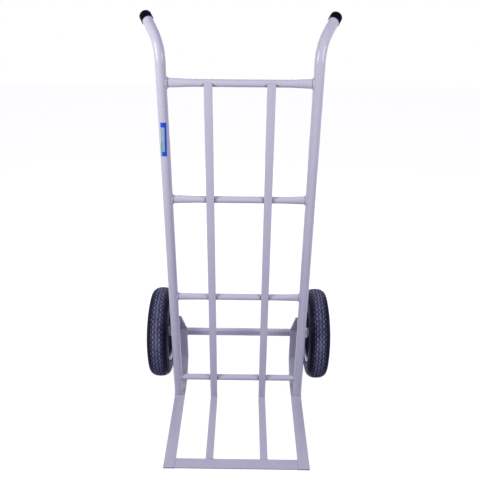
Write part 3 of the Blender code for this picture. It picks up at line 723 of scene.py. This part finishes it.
def flat_bar(corners, bend_radius, x, width, thickness, trim_y=None):
    """A rolled flat bar with eased edges, bent in the YZ plane. trim_y cuts its last end."""
    stations = [(*station, 0.0) for station in bent_path(corners, bend_radius)]
    first, last = stations[0], stations[-1]
    eased_start = [(first[0], first[1], EASED_EDGE),
                   (first[0] + first[1] * EASED_EDGE, first[1], 0.0)]
    eased_end = [(last[0] - last[1] * EASED_EDGE, last[1], 0.0), (last[0], last[1], EASED_EDGE)]
    if trim_y is not None:
        eased_end = [last]
    loops = []
    for point, way, inset in eased_start + stations[1:-1] + eased_end:
        normal = Vector((-way.y, way.x))
        loop = []
        for across, through in rounded_rectangle(width - 2 * inset, thickness - 2 * inset,
                                                 EASED_EDGE):
            spot = point + normal * through
            if trim_y is not None and point is last[0]:
                spot = spot + way * ((trim_y - spot.x) / way.x)
            loop.append(Vector((x + across, *spot)))
        loops.append(loop)
    return skin(loops, closed=False)


def make_slat(side):
    """A flat bar down the front of the cross tubes that turns forward into the toe."""
    level = TOE_TOP_Z - SLAT_THICKNESS / 2
    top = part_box("right_slat")[1].z
    corners = (Vector((SLAT_Y, top)), Vector((SLAT_Y, level)),
               Vector((TOE_BACK_EDGE_Y, level)))
    return flat_bar(corners, SLAT_BEND_RADIUS, side * SLAT_X, SLAT_WIDTH, SLAT_THICKNESS)


def make_side_bar(side):
    """One flat bar: the toe's side, the heel, the axle's seat and the stay to the rail."""
    level = SIDE_BAR_THICKNESS / 2
    rail_back = RAIL_Y + RAIL_RADIUS
    corners = (Vector((TOE_FRONT_Y, level)), Vector((RAIL_Y + HEEL_SETBACK, level)),
               Vector((BRACKET_Y, HEEL_BEND_HEIGHT)), Vector((BRACKET_Y, BRACKET_BEND_HEIGHT)),
               Vector((rail_back, BRACKET_TOP_HEIGHT)))
    return flat_bar(corners, SIDE_BAR_BEND_RADIUS, side * SIDE_BAR_X, SIDE_BAR_WIDTH,
                    SIDE_BAR_THICKNESS, trim_y=rail_back)


def make_front_bar():
    """The flat bar across the toe's front, butted between the side bars."""
    low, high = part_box("toe_front_bar")
    section = rounded_rectangle(high.y - low.y, high.z - low.z, EASED_EDGE)
    centre = (low + high) / 2
    return skin([[Vector((x, centre.y + y, centre.z + z)) for y, z in section]
                 for x in (low.x, high.x)], closed=False)


def make_axle_housing():
    """A drawn square tube with round corners and an open bore."""
    low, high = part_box("axle_housing")
    loops = []
    size = high.z - low.z
    for x, width, corner in ((low.x, size, HOUSING_CORNER_RADIUS),
                             (high.x, size, HOUSING_CORNER_RADIUS),
                             (high.x, 2 * HOUSING_BORE_HALF, EASED_EDGE),
                             (low.x, 2 * HOUSING_BORE_HALF, EASED_EDGE)):
        loops.append([Vector((x, AXLE_CENTRE.y + y, AXLE_CENTRE.z + z))
                      for y, z in rounded_rectangle(width, width, corner, CORNER_STEPS)])
    return skin(loops, closed=True)


def make_axle():
    """A round bright bar with chamfered ends."""
    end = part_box("axle")[1].x
    tip = AXLE_RADIUS - AXLE_CHAMFER
    profile = ((-end, tip), (AXLE_CHAMFER - end, AXLE_RADIUS), (end - AXLE_CHAMFER, AXLE_RADIUS),
               (end, tip))
    return turned(profile, SMALL_SIDES, closed=False, origin=AXLE_CENTRE)


def make_axle_ring(node):
    """A sleeve or washer on the axle, with its edges just broken."""
    low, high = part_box(node)
    outer = (high.z - low.z) / 2
    outline = ((low.x, AXLE_RADIUS), (low.x, outer), (high.x, outer), (high.x, AXLE_RADIUS))
    return turned(rounded(outline, RING_EDGE), SMALL_SIDES, closed=True,
                  origin=Vector((0, AXLE_CENTRE.y, AXLE_CENTRE.z)))


def make_split_pin(side):
    """A doubled half-round wire with its eye above the axle and its legs spread below."""
    pin_x = middle("right_split_pin").x
    knee = -AXLE_RADIUS - PIN_LEG_DROP
    neck_angle = math.asin(PIN_LEG_OFFSET / PIN_EYE_RADIUS)
    eye_height = (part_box("right_split_pin")[1].z - AXLE_CENTRE.z - PIN_WIRE_RADIUS
                  - PIN_EYE_RADIUS)
    neck = eye_height - PIN_EYE_RADIUS * math.cos(neck_angle)
    tip = Vector((PIN_LEG_OFFSET + PIN_LEG_SPREAD, knee - PIN_LEG_TIP_DROP))
    rise = bent_path((tip, Vector((PIN_LEG_OFFSET, knee)), Vector((PIN_LEG_OFFSET, neck))),
                     PIN_LEG_BEND_RADIUS)
    eye = []
    for i in range(1, BEND_STEPS):
        angle = neck_angle + (math.tau - 2 * neck_angle) * i / BEND_STEPS
        point = Vector((math.sin(angle), -math.cos(angle))) * PIN_EYE_RADIUS
        eye.append((point + Vector((0, eye_height)), Vector((math.cos(angle), math.sin(angle)))))
    fall = [(Vector((-point.x, point.y)), Vector((way.x, -way.y))) for point, way in rise[::-1]]
    loops = []
    for point, way in rise + eye + fall:
        centre = Vector((side * pin_x, AXLE_CENTRE.y + point.x, AXLE_CENTRE.z + point.y))
        loops.append(loop_round(centre, AXIS_X, Vector((0, -way.y, way.x)), PIN_WIRE_RADIUS,
                                PIN_WIRE_RADIUS, WIRE_SIDES))
    return skin(loops, closed=False)


# Welds


def resampled(path, step, closed):
    """Points at even steps along a path, and the whole length."""
    points = list(path) + ([path[0]] if closed else [])
    lengths = [(b - a).length for a, b in zip(points, points[1:])]
    total = sum(lengths)
    count = max(int(total / step), 4)
    result, place, done = [], 0, 0.0
    for i in range(count if closed else count + 1):
        goal = total * i / count
        while place < len(lengths) - 1 and done + lengths[place] < goal:
            done += lengths[place]
            place += 1
        share = (goal - done) / lengths[place] if lengths[place] else 0
        result.append(points[place].lerp(points[place + 1], min(share, 1)))
    return result, total


def weld_bead(body, path, radius, closed=False, centre=None):
    """A rippled run of weld metal along a joint, with a slightly uneven hand."""
    points, total = resampled(path, WELD_STEP, closed)
    count = len(points)
    ripples = max(round(total / WELD_RIPPLE), 1)
    loops = []
    for i, point in enumerate(points):
        ahead = points[(i + 1) % count] if closed else points[min(i + 1, count - 1)]
        behind = points[i - 1] if closed or i else points[0]
        way = (ahead - behind).normalized()
        side = (point - centre) if centre is not None else way.orthogonal()
        side = (side - way * side.dot(way)).normalized()
        share = i / count if closed else i / (count - 1)
        phase = (share * ripples) % 1
        swell = (1 + WELD_RIPPLE_SHARE * (1 - phase) ** 2
                 + WELD_UNEVEN_SHARE * noise.noise(point * WELD_UNEVEN_PER_METRE))
        if not closed:
            distance = min(share, 1 - share) * total
            end = min(distance / radius, 1)
            swell *= max(math.sqrt(1 - (1 - end) ** 2), WELD_TIP_SHARE)
        loops.append(loop_round(point, side, way.cross(side), radius * swell, radius * swell,
                                WIRE_SIDES))
    skin(loops, closed, body)


def straight_bead(body, radius, start, end):
    """A run of weld metal from point to point."""
    weld_bead(body, (Vector(start), Vector(end)), radius)


def make_tube_welds():
    """Beads round both ends of each cross tube."""
    body = bmesh.new()
    grow = TUBE_WELD_RADIUS / 3
    for name, pressed in CROSS_TUBES:
        height = middle(name + "_cross_tube").z
        up, deep = tube_end_halves(pressed)
        line = tube_section(height, up + grow, deep + grow)
        for side, path in ((-1, mirrored(line)), (1, line)):
            weld_bead(body, path, TUBE_WELD_RADIUS, closed=True,
                      centre=Vector((side * (RAIL_X - 2 * RAIL_RADIUS), RAIL_Y, height)))
    return body


def make_foot_welds():
    """Beads round the rails' feet, where they stand on the side bars."""
    body = bmesh.new()
    edge = SIDE_BAR_X + SIDE_BAR_WIDTH / 2 - FOOT_WELD_RADIUS / 2
    for side in (-1, 1):
        centre = Vector((side * RAIL_X, RAIL_Y, TOE_TOP_Z))
        circle = loop_round(centre, AXIS_X, AXIS_Y, RAIL_RADIUS, RAIL_RADIUS, TUBE_SIDES)
        for point in circle:
            point.x = side * min(abs(point.x), edge)
        weld_bead(body, circle, FOOT_WELD_RADIUS, closed=True, centre=centre)
    return body


def make_slat_welds():
    """Beads behind each slat, above and below each cross tube, and one over its top end."""
    body = bmesh.new()
    back = SLAT_Y + SLAT_THICKNESS / 2
    half = SLAT_WIDTH / 2 - SLAT_WELD_RADIUS
    for side in (-1, 1):
        for name, _ in CROSS_TUBES:
            level = middle(name + "_cross_tube").z
            for edge in (-1, 1):
                if name == "top" and edge > 0:
                    y, rise = back, 0
                else:
                    rise = edge * CROSS_TUBE_RADIUS * SLAT_WELD_RISE_SHARE
                    face = RAIL_Y - math.sqrt(CROSS_TUBE_RADIUS ** 2 - rise ** 2)
                    y = (face + back) / 2
                straight_bead(body, SLAT_WELD_RADIUS, (side * (SLAT_X - half), y, level + rise),
                              (side * (SLAT_X + half), y, level + rise))
    return body


def make_toe_welds():
    """Seams under the toe, where the slats and the side bars butt against its front bar."""
    body = bmesh.new()
    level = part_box("toe_front_bar")[0].z
    half = SLAT_WIDTH / 2
    for side in (-1, 1):
        edge = side * (SIDE_BAR_X - SIDE_BAR_WIDTH / 2)
        straight_bead(body, SEAM_WELD_RADIUS, (edge, TOE_FRONT_Y + EASED_EDGE, level),
                      (edge, TOE_BACK_EDGE_Y, level))
        straight_bead(body, SEAM_WELD_RADIUS, (side * SLAT_X - half, TOE_BACK_EDGE_Y, level),
                      (side * SLAT_X + half, TOE_BACK_EDGE_Y, level))
    return body


def make_bracket_welds():
    """Beads at the stays' tops on the rails' backs, and round the axle housing's seats."""
    body = bmesh.new()
    seat, housing_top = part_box("axle_housing")[0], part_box("axle_housing")[1].z
    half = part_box("right_side_bar")[1].z - BRACKET_TOP_HEIGHT
    for side in (-1, 1):
        inner, outer = (side * (SIDE_BAR_X + edge * SIDE_BAR_WIDTH / 2) for edge in (-1, 1))
        for level, z in ((-1, seat.z), (1, housing_top)):
            path = []
            for step in range(-SHORT_BEAD_STEPS, SHORT_BEAD_STEPS + 1):
                x = RAIL_RADIUS * STAY_WELD_REACH_SHARE * step / SHORT_BEAD_STEPS
                bulge = RAIL_RADIUS - math.sqrt(RAIL_RADIUS ** 2 - x ** 2)
                path.append(Vector((side * (RAIL_X + x), RAIL_Y + RAIL_RADIUS - bulge / 3,
                                    BRACKET_TOP_HEIGHT + level * half)))
            weld_bead(body, path, BRACKET_WELD_RADIUS)
            straight_bead(body, BRACKET_WELD_RADIUS, (inner, seat.y, z), (outer, seat.y, z))
        straight_bead(body, BRACKET_WELD_RADIUS, (inner, seat.y, seat.z),
                      (inner, seat.y, housing_top))
    return body


# Wheels


def tyre_points(shares):
    """Points (offset, radius) of the tyre's section from shares of its width and height."""
    flange_top = RIM_FLANGE_RADIUS + TYRE_FLANGE_CLEARANCE
    height = WHEEL_RADIUS - flange_top
    return [(TYRE_HALF_WIDTH * w, flange_top + height * h) for w, h in shares]


def tyre_section():
    """The inflated section's curve from crown to flange, with the length along it."""
    points = [Vector(p) for p in tyre_points(TYRE_SECTION_SHARES)]
    mirror = [Vector((-points[1].x, points[1].y))]
    curve = smooth_curve(mirror + points)[CURVE_STEPS:]
    curve = [Vector((min(p.x, TYRE_HALF_WIDTH), min(p.y, WHEEL_RADIUS))) for p in curve]
    lengths = [0.0]
    for a, b in zip(curve, curve[1:]):
        lengths.append(lengths[-1] + (b - a).length)
    return curve, lengths


TYRE_CURVE, TYRE_LENGTHS = tyre_section()


def section_point(along, depth):
    """A point (offset, radius) at a length from the crown's middle, some depth under it."""
    reach = abs(along)
    place = next((i for i, length in enumerate(TYRE_LENGTHS[1:]) if length >= reach),
                 len(TYRE_LENGTHS) - 2)
    a, b = TYRE_CURVE[place], TYRE_CURVE[place + 1]
    share = (reach - TYRE_LENGTHS[place]) / (TYRE_LENGTHS[place + 1] - TYRE_LENGTHS[place])
    way = (b - a).normalized()
    point = a.lerp(b, share) + Vector((way.y, -way.x)) * depth
    return math.copysign(point.x, along), point.y


def wheel_point(along, depth, turn):
    """A point on or under the tread at a length along the section and a turn of the wheel."""
    offset, radius = section_point(along, depth)
    return Vector((offset, radius * math.cos(turn), radius * math.sin(turn)))


def sidewall_relief(reach):
    """How far the surface stands up at a length along the section: groove floor or ring."""
    if reach < TREAD_HALF_WIDTH:
        return -TREAD_DEPTH
    if reach < TREAD_HALF_WIDTH + TREAD_FADE:
        return -TREAD_DEPTH * (1 - (reach - TREAD_HALF_WIDTH) / TREAD_FADE)
    for ring in SIDEWALL_RING_PLACES:
        if abs(reach - ring) < SIDEWALL_RING_WIDTH:
            share = abs(reach - ring) / SIDEWALL_RING_WIDTH
            return SIDEWALL_RING_HEIGHT * (2 * math.sqrt(1 - share ** 2) - 1)
    return -SIDEWALL_RING_HEIGHT


def make_tyre():
    """A hollow carcass with a moulded tread: a zigzag middle rib and rows of small blocks."""
    reaches = [TREAD_HALF_WIDTH * i / GROOVE_STEPS for i in range(GROOVE_STEPS + 1)]
    reach = TREAD_HALF_WIDTH
    while reach < TYRE_LENGTHS[-1]:
        reach += SIDEWALL_RING_WIDTH / 2
        reaches.append(min(reach, TYRE_LENGTHS[-1]))
    half = [section_point(reach, -sidewall_relief(reach)) for reach in reaches]
    bead = RIM_HALF_WIDTH
    half += [(bead, RIM_FLANGE_RADIUS), (bead, RIM_SEAT_RADIUS),
             (bead - BEAD_THICKNESS, RIM_SEAT_RADIUS)]
    half += tyre_points(reversed(TYRE_CAVITY_SHARES))
    outline = half + [(-offset, radius) for offset, radius in half[:0:-1]]
    body = turned(outline, WHEEL_SIDES, closed=True)
    add_middle_rib(body)
    for side in (-1, 1):
        for row in BLOCK_ROWS:
            for pitch in range(TREAD_PITCHES):
                add_block(body, side, pitch, *row)
    return body


def add_middle_rib(body):
    """A zigzag rib all round the crown."""
    root = TREAD_DEPTH + TREAD_ROOT
    loops = []
    for pitch in range(TREAD_PITCHES):
        for share, near, far in ZIGZAG_RIB:
            turn = math.tau * (pitch + share) / TREAD_PITCHES
            loops.append([wheel_point(along, depth, turn) for along, depth in (
                (near, root), (near, TREAD_EDGE), (near + TREAD_EDGE, 0), ((near + far) / 2, 0),
                (far - TREAD_EDGE, 0), (far, TREAD_EDGE), (far, root))])
    skin(loops, True, body)


def add_block(body, side, pitch, near_edge, far_edge, length_share, slant_share, offset_share):
    """One slanted tread block. The two sides of the tread are half a pitch apart."""
    step = math.tau / TREAD_PITCHES
    middle_turn = (pitch + offset_share + side / 4 + 0.25) * step
    half = step * length_share / 2
    slant = step * slant_share
    loops = []
    for depth, inset in ((TREAD_DEPTH + TREAD_ROOT, 0), (TREAD_EDGE, 0), (0, TREAD_EDGE)):
        turn_inset = inset / WHEEL_RADIUS
        near, far = near_edge + inset, far_edge - inset
        loop = []
        for along, lean, reach in ((near, -slant, -1), (far, slant, -1), (far, slant, 1),
                                   (near, -slant, 1)):
            turn = middle_turn + lean + reach * (half - turn_inset)
            loop.append(wheel_point(side * along, depth, turn))
        loops.append(loop)
    skin(loops, False, body)


def rim_middle_line():
    """A rim half's middle line with its press radii, from the hub to the flange's lip."""
    seat = RIM_SEAT_RADIUS - RIM_SHEET / 2
    flange = RIM_HALF_WIDTH + RIM_SHEET / 2
    first = (Vector((RIM_DISC_OFFSET, HUB_RADIUS)), Vector((RIM_DISC_OFFSET, RIM_DISC_RADIUS)),
             Vector((RIM_HALF_WIDTH - RIM_SEAT_WIDTH, seat)), Vector((flange, seat)))
    second = (Vector((flange - RIM_SEAT_WIDTH / 2, seat)), Vector((flange, seat)),
              Vector((flange, RIM_FLANGE_RADIUS - RIM_SHEET)),
              Vector((flange + RIM_LIP_REACH, RIM_FLANGE_RADIUS - RIM_SHEET / 2)))
    return (bent_path(first, RIM_BEND_RADIUS)[:-1]
            + bent_path(second, RIM_FLANGE_BEND_RADIUS)[1:])


def make_rim_half(outward):
    """A pressed sheet half with round bends and a curled flange."""
    near, far = [], []
    for point, way in rim_middle_line():
        normal = Vector((-way.y, way.x)) * (RIM_SHEET / 2)
        near.append(tuple(point + normal))
        far.append(tuple(point - normal))
    return turned(near + far[::-1], WHEEL_SIDES, closed=True, axis=AXIS_X * outward)


def make_hub():
    """A turned sleeve with chamfered collars and a counterbore at each end."""
    shoulder = HUB_HALF_LENGTH - BEARING_WIDTH
    collar = HUB_HALF_LENGTH - HUB_COLLAR_LENGTH
    half = ((collar - HUB_CHAMFER, HUB_WAIST_RADIUS + HUB_CHAMFER), (collar, HUB_RADIUS),
            (HUB_HALF_LENGTH - HUB_CHAMFER, HUB_RADIUS),
            (HUB_HALF_LENGTH, HUB_RADIUS - HUB_CHAMFER), (HUB_HALF_LENGTH, BEARING_RADIUS),
            (shoulder, BEARING_RADIUS), (shoulder, HUB_BORE_RADIUS))
    profile = list(half) + [(-along, radius) for along, radius in reversed(half)]
    return turned(profile, SMALL_SIDES * 2, closed=True)


def make_bearing(outward):
    """A ball bearing with ground rings, rounded at their edges, and a pressed shield."""
    face = HUB_HALF_LENGTH
    back = face - BEARING_WIDTH
    shield = face - BEARING_SHIELD_DEPTH
    inner = AXLE_RADIUS + BEARING_RING_WALL
    outer = BEARING_RADIUS - BEARING_RING_WALL
    lip = (outer + inner) / 2
    bore = AXLE_RADIUS + BEARING_BORE_GAP
    outline = ((back, bore), (face, bore), (face, inner),
               (shield - BEARING_SHIELD_DEPTH, inner), (shield, lip), (shield, outer),
               (face, outer), (face, BEARING_RADIUS), (back, BEARING_RADIUS))
    return turned(rounded(outline, BEARING_EDGE), SMALL_SIDES * 2, closed=True,
                  axis=AXIS_X * outward)


def bolt_places():
    """Centres of the rim bolts in the wheel's plane."""
    angles = [math.tau * (i + 0.5) / BOLT_COUNT for i in range(BOLT_COUNT)]
    return [Vector((0, math.cos(a), math.sin(a))) * BOLT_CIRCLE_RADIUS for a in angles]


def make_bolt(place, outward):
    """A hexagon bolt and nut with chamfered corners and a short run of thread."""
    def hexagon(along, chamfer_slope):
        loop = []
        for i in range(SMALL_SIDES):
            angle = math.tau * i / SMALL_SIDES
            from_flat = (angle + math.pi / 6) % (math.pi / 3) - math.pi / 6
            radius = BOLT_HEX_APOTHEM / math.cos(from_flat)
            drop = chamfer_slope * (radius - BOLT_HEX_APOTHEM)
            height = along - math.copysign(drop, along)
            loop.append(place + AXIS_X * (height * outward)
                        + (AXIS_Y * math.cos(angle) + AXIS_Z * math.sin(angle)) * radius)
        return loop

    def circle(along, radius):
        return loop_round(place + AXIS_X * (along * outward), AXIS_Y, AXIS_Z, radius, radius,
                          SMALL_SIDES)

    head, nut = BOLT_SEAT + BOLT_HEAD_HEIGHT, -BOLT_SEAT - BOLT_NUT_HEIGHT
    land, root = BOLT_HEX_APOTHEM * BOLT_LAND_SHARE, BOLT_SHANK_RADIUS - BOLT_THREAD_DEPTH
    loops = [circle(head, land), hexagon(head, BOLT_CHAMFER_SLOPE), hexagon(BOLT_SEAT, 0),
             circle(BOLT_SEAT, BOLT_SHANK_RADIUS), circle(-BOLT_SEAT, BOLT_SHANK_RADIUS),
             hexagon(-BOLT_SEAT, 0), hexagon(nut, BOLT_CHAMFER_SLOPE), circle(nut, land),
             circle(nut, root)]
    along = nut
    while along > nut - BOLT_THREAD_REACH + BOLT_THREAD_PITCH:
        loops.append(circle(along - BOLT_THREAD_PITCH / 2, BOLT_SHANK_RADIUS))
        along -= BOLT_THREAD_PITCH
        loops.append(circle(along, root))
    loops.append(circle(nut - BOLT_THREAD_REACH, root))
    return skin(loops, closed=False)


def make_valve(outward):
    """A moulded rubber boot, a plated stem and a fluted dust cap."""
    disc_edge = Vector((RIM_DISC_OFFSET, RIM_DISC_RADIUS))
    cone_end = Vector((RIM_HALF_WIDTH - RIM_SEAT_WIDTH, RIM_SEAT_RADIUS - RIM_SHEET / 2))
    centre = (disc_edge + cone_end) / 2
    cone = (cone_end - disc_edge).normalized()
    place = Vector((centre.x * outward, 0, centre.y))
    way = Vector((cone.y * outward, 0, -cone.x))
    boot_end = VALVE_BOOT_LENGTH
    stem_end = boot_end + VALVE_STEM_LENGTH
    cap_end = stem_end + VALVE_CAP_LENGTH
    across, up = AXIS_Y, way.cross(AXIS_Y)

    def circle(along, radius):
        return loop_round(place + way * along, across, up, radius, radius, SMALL_SIDES)

    def fluted(along, radius):
        loop = []
        for i in range(SMALL_SIDES):
            angle = math.tau * i / SMALL_SIDES
            dip = VALVE_CAP_FLUTE_DEPTH * (1 + math.cos(VALVE_CAP_FLUTES * angle)) / 2
            loop.append(place + way * along + (across * math.cos(angle) + up * math.sin(angle))
                        * (radius - dip))
        return loop

    loops = [circle(-VALVE_INNER_LENGTH, VALVE_BOOT_RADIUS * VALVE_ROOT_SHARE),
             circle(RIM_SHEET, VALVE_BOOT_RADIUS),
             circle(RIM_SHEET * 2, VALVE_BOOT_RADIUS * VALVE_BOOT_TAPER_SHARE),
             circle(boot_end - RIM_SHEET, VALVE_STEM_RADIUS * VALVE_BOOT_TIP_SHARE),
             circle(boot_end, VALVE_STEM_RADIUS), circle(stem_end, VALVE_STEM_RADIUS),
             fluted(stem_end, VALVE_CAP_RADIUS),
             fluted(cap_end * VALVE_CAP_EDGE_SHARE, VALVE_CAP_RADIUS),
             circle(cap_end, VALVE_CAP_RADIUS * VALVE_CAP_TOP_SHARE)]
    return skin(loops, closed=False)


# Sticker


def sticker_patch(low_share, high_share, width_share, border, lift):
    """A thin film round part of the left rail, between two shares of the sticker's height
    and over a share of its width from its outer edge."""
    body = bmesh.new()
    height = STICKER_TOP_Z - STICKER_BOTTOM_Z
    level = (STICKER_TOP_Z + STICKER_BOTTOM_Z) / 2
    low = STICKER_BOTTOM_Z + height * low_share + border
    high = STICKER_BOTTOM_Z + height * high_share - border
    start = STICKER_MIDDLE_TURN - STICKER_HALF_TURN + border / RAIL_RADIUS
    spread = 2 * STICKER_HALF_TURN * width_share - 2 * border / RAIL_RADIUS
    inner = RAIL_RADIUS + lift
    loops = []
    for z, radius in ((low, inner), (low, inner + STICKER_FILM), (high, inner + STICKER_FILM),
                      (high, inner)):
        loop = []
        for step in range(BEND_STEPS + 1):
            turn = start + spread * step / BEND_STEPS + STICKER_LEAN * (z - level) / height
            loop.append(Vector((radius * math.sin(turn) - RAIL_X,
                                RAIL_Y - radius * math.cos(turn), z)))
        loops.append(loop)
    rows = [[body.verts.new(point) for point in loop] for loop in loops]
    for first, second in zip(rows, rows[1:] + rows[:1]):
        for i in range(BEND_STEPS):
            body.faces.new((first[i], first[i + 1], second[i + 1], second[i]))
    for end in (0, -1):
        body.faces.new([row[end] for row in rows])
    return body


# Assembly


def dress_frame(enamel, weld, plastic, zinc):
    """Every piece of the frame and of the axle, in place of its CAD solid."""
    def add(name, shape, material, slot, *nodes):
        add_piece(name, shape, material, "frame", nodes)

    for name, pressed in CROSS_TUBES:
        node = name + "_cross_tube"
        add(name + "_cross_pipe", make_cross_tube(middle(node).z, pressed), enamel,
            "frame_paint", node)
    add("toe_edge_bar", make_front_bar(), enamel, "frame_paint", "toe_front_bar")
    add("axle_box_tube", make_axle_housing(), enamel, "frame_paint", "axle_housing")
    add("axle_bar", make_axle(), zinc, "zinc", "axle")
    for hand, side in SIDES:
        add(hand + "_rail_pipe", make_rail(side), enamel, "frame_paint", hand + "_rail")
        add(hand + "_slat_bar", make_slat(side), enamel, "frame_paint", hand + "_slat")
        add(hand + "_bent_side_bar", make_side_bar(side), enamel, "frame_paint",
            hand + "_side_bar")
        add(hand + "_handle_cup", make_handle_cap(side), plastic, "cap_plastic",
            hand + "_handle_cap")
        for ring in ("axle_spacer", "inner_washer", "outer_washer"):
            node = hand + "_" + ring
            add(node + "_ring", make_axle_ring(node), zinc, "zinc", node)
        add(hand + "_cotter", make_split_pin(side), zinc, "zinc", hand + "_split_pin")
    add("cross_tube_welds", make_tube_welds(), weld, "frame_paint")
    add("rail_foot_welds", make_foot_welds(), weld, "frame_paint")
    add("slat_welds", make_slat_welds(), weld, "frame_paint")
    add("toe_welds", make_toe_welds(), weld, "frame_paint")
    add("bracket_welds", make_bracket_welds(), weld, "frame_paint")


def dress_wheels(rubber, rim_enamel, zinc, steel):
    """Every piece of both wheels, built round the wheel's own centre."""
    for hand, side in SIDES:
        centre = middle(hand + "_tyre")
        body = hand + "_wheel"

        def add(name, shape, material, slot, node):
            add_piece(hand + "_" + name, shape, material, body, (hand + "_" + node,),
                      centre)

        add("tyre_carcass", make_tyre(), rubber, "tyre_rubber", "tyre")
        add("hub_sleeve", make_hub(), zinc, "zinc", "hub")
        for place, outward in (("inner", -side), ("outer", side)):
            add(place + "_rim_pressing", make_rim_half(outward), rim_enamel, "rim_paint",
                "rim_" + place + "_half")
            add(place + "_ball_bearing", make_bearing(outward), steel, "bearing_steel",
                place + "_bearing")
        for number, place in enumerate(bolt_places(), start=1):
            add("hex_bolt_" + str(number), make_bolt(place, side), zinc, "zinc",
                "rim_bolt_" + str(number))
        add("tyre_valve", make_valve(side), rubber, "valve_rubber", "valve")


def add_sticker(edge_film, field_film, panel_film, tab_film):
    """A sticker of plain colours: a pale edge, a blue field, a pale panel and a green tab
    at its lower corner."""
    low, high = STICKER_PANEL_SHARES
    tab_height, tab_width = STICKER_TAB_SHARES
    for name, film, patch in (
            ("sticker_edge", edge_film, (0, 1, 1, 0, 0)),
            ("sticker_field", field_film, (0, 1, 1, STICKER_BORDER, STICKER_FILM)),
            ("sticker_panel", panel_film, (low, high, STICKER_PANEL_WIDTH_SHARE,
                                           STICKER_BORDER, 2 * STICKER_FILM)),
            ("sticker_tab", tab_film, (0, tab_height, tab_width,
                                       STICKER_BORDER, 3 * STICKER_FILM))):
        add_piece(name, sticker_patch(*patch), film, "frame")


def add_floor():
    """A broad sheet of pale paper under the truck."""
    body = bmesh.new()
    body.faces.new([body.verts.new((x * FLOOR_REACH, y * FLOOR_REACH, 0))
                    for x, y in ((-1, -1), (1, -1), (1, 1), (-1, 1))])
    mesh = bpy.data.meshes.new("studio_floor")
    body.to_mesh(mesh)
    body.free()
    mesh.materials.append(make_studio_paper())
    floor = bpy.data.objects.new("studio_floor", mesh)
    bpy.context.collection.objects.link(floor)


def add_softbox(name, place, target, width, height, watts):
    """A large soft lamp that faces a point."""
    lamp = bpy.data.lights.new(name, "AREA")
    lamp.shape = "RECTANGLE"
    lamp.size = width
    lamp.size_y = height
    lamp.energy = watts
    holder = bpy.data.objects.new(name, lamp)
    holder.location = place
    holder.rotation_euler = (Vector(target) - Vector(place)).to_track_quat("-Z", "Y").to_euler()
    bpy.context.collection.objects.link(holder)


def light_studio():
    """Soft light from both sides and behind, in a room that a camera sees as white."""
    for softbox in SOFTBOXES:
        add_softbox(*softbox)
    world = bpy.data.worlds.new("white_room")
    bpy.context.scene.world = world
    world.use_nodes = True
    tree = world.node_tree
    tree.nodes.clear()
    soft = add_node(tree, "Background", (linear("#B3ABFF"), 0.44))
    white = add_node(tree, "Background", (linear("#FFFFFF"), 1.0))
    both = add_node(tree, "MixShader", (share_in_view(tree), soft, white))
    add_node(tree, "OutputWorld", {"Surface": both})


def add_camera():
    """The camera at the photograph's place, as solved from the truck's straight edges."""
    pitch, yaw, roll = CAMERA_PITCH, CAMERA_YAW, CAMERA_ROLL
    forward = Vector((math.sin(yaw) * math.cos(pitch), math.cos(yaw) * math.cos(pitch),
                      -math.sin(pitch)))
    right = Vector((math.cos(yaw), -math.sin(yaw), 0))
    up = right.cross(forward)
    rolled_right = right * math.cos(roll) + up * math.sin(roll)
    rolled_up = up * math.cos(roll) - right * math.sin(roll)
    lens = bpy.data.cameras.new("photo_camera")
    lens.lens = FOCAL_PX / IMAGE_WIDTH_PX * lens.sensor_width
    camera = bpy.data.objects.new("photo_camera", lens)
    turn = Matrix((rolled_right, rolled_up, -forward)).transposed().to_4x4()
    camera.matrix_world = Matrix.Translation(CAMERA_PLACE) @ turn
    bpy.context.collection.objects.link(camera)
    bpy.context.scene.camera = camera


def main():
    """Dress the frame, then light it."""
    add_camera()
    enamel = make_lavender_enamel()
    zinc = make_plated_steel("bright_zinc_plate", "#E9EAF2", "#C3C5D2", 2.17, 0.28, 0.40)
    steel = make_plated_steel("ground_bearing_steel", "#C9C9CB", "#A6A6AA", 1.58, 0.16, 0.28)
    dress_frame(enamel, make_weld_enamel(), make_cap_plastic(), zinc)
    dress_wheels(make_tyre_rubber(), make_rim_enamel(), zinc, steel)
    add_sticker(make_sticker_film("pale_vinyl_edge", "#C9DCE8", "#B9CDDC"),
                make_sticker_film("blue_vinyl_field", "#1048CE", "#0D3FB8"),
                make_sticker_film("pale_vinyl_panel", "#A2BABC", "#8AA6AC"),
                make_sticker_film("green_vinyl_tab", "#58A89C", "#48988C"))
    add_floor()
    light_studio()
    bpy.context.scene.view_settings.view_transform = "Standard"


main()
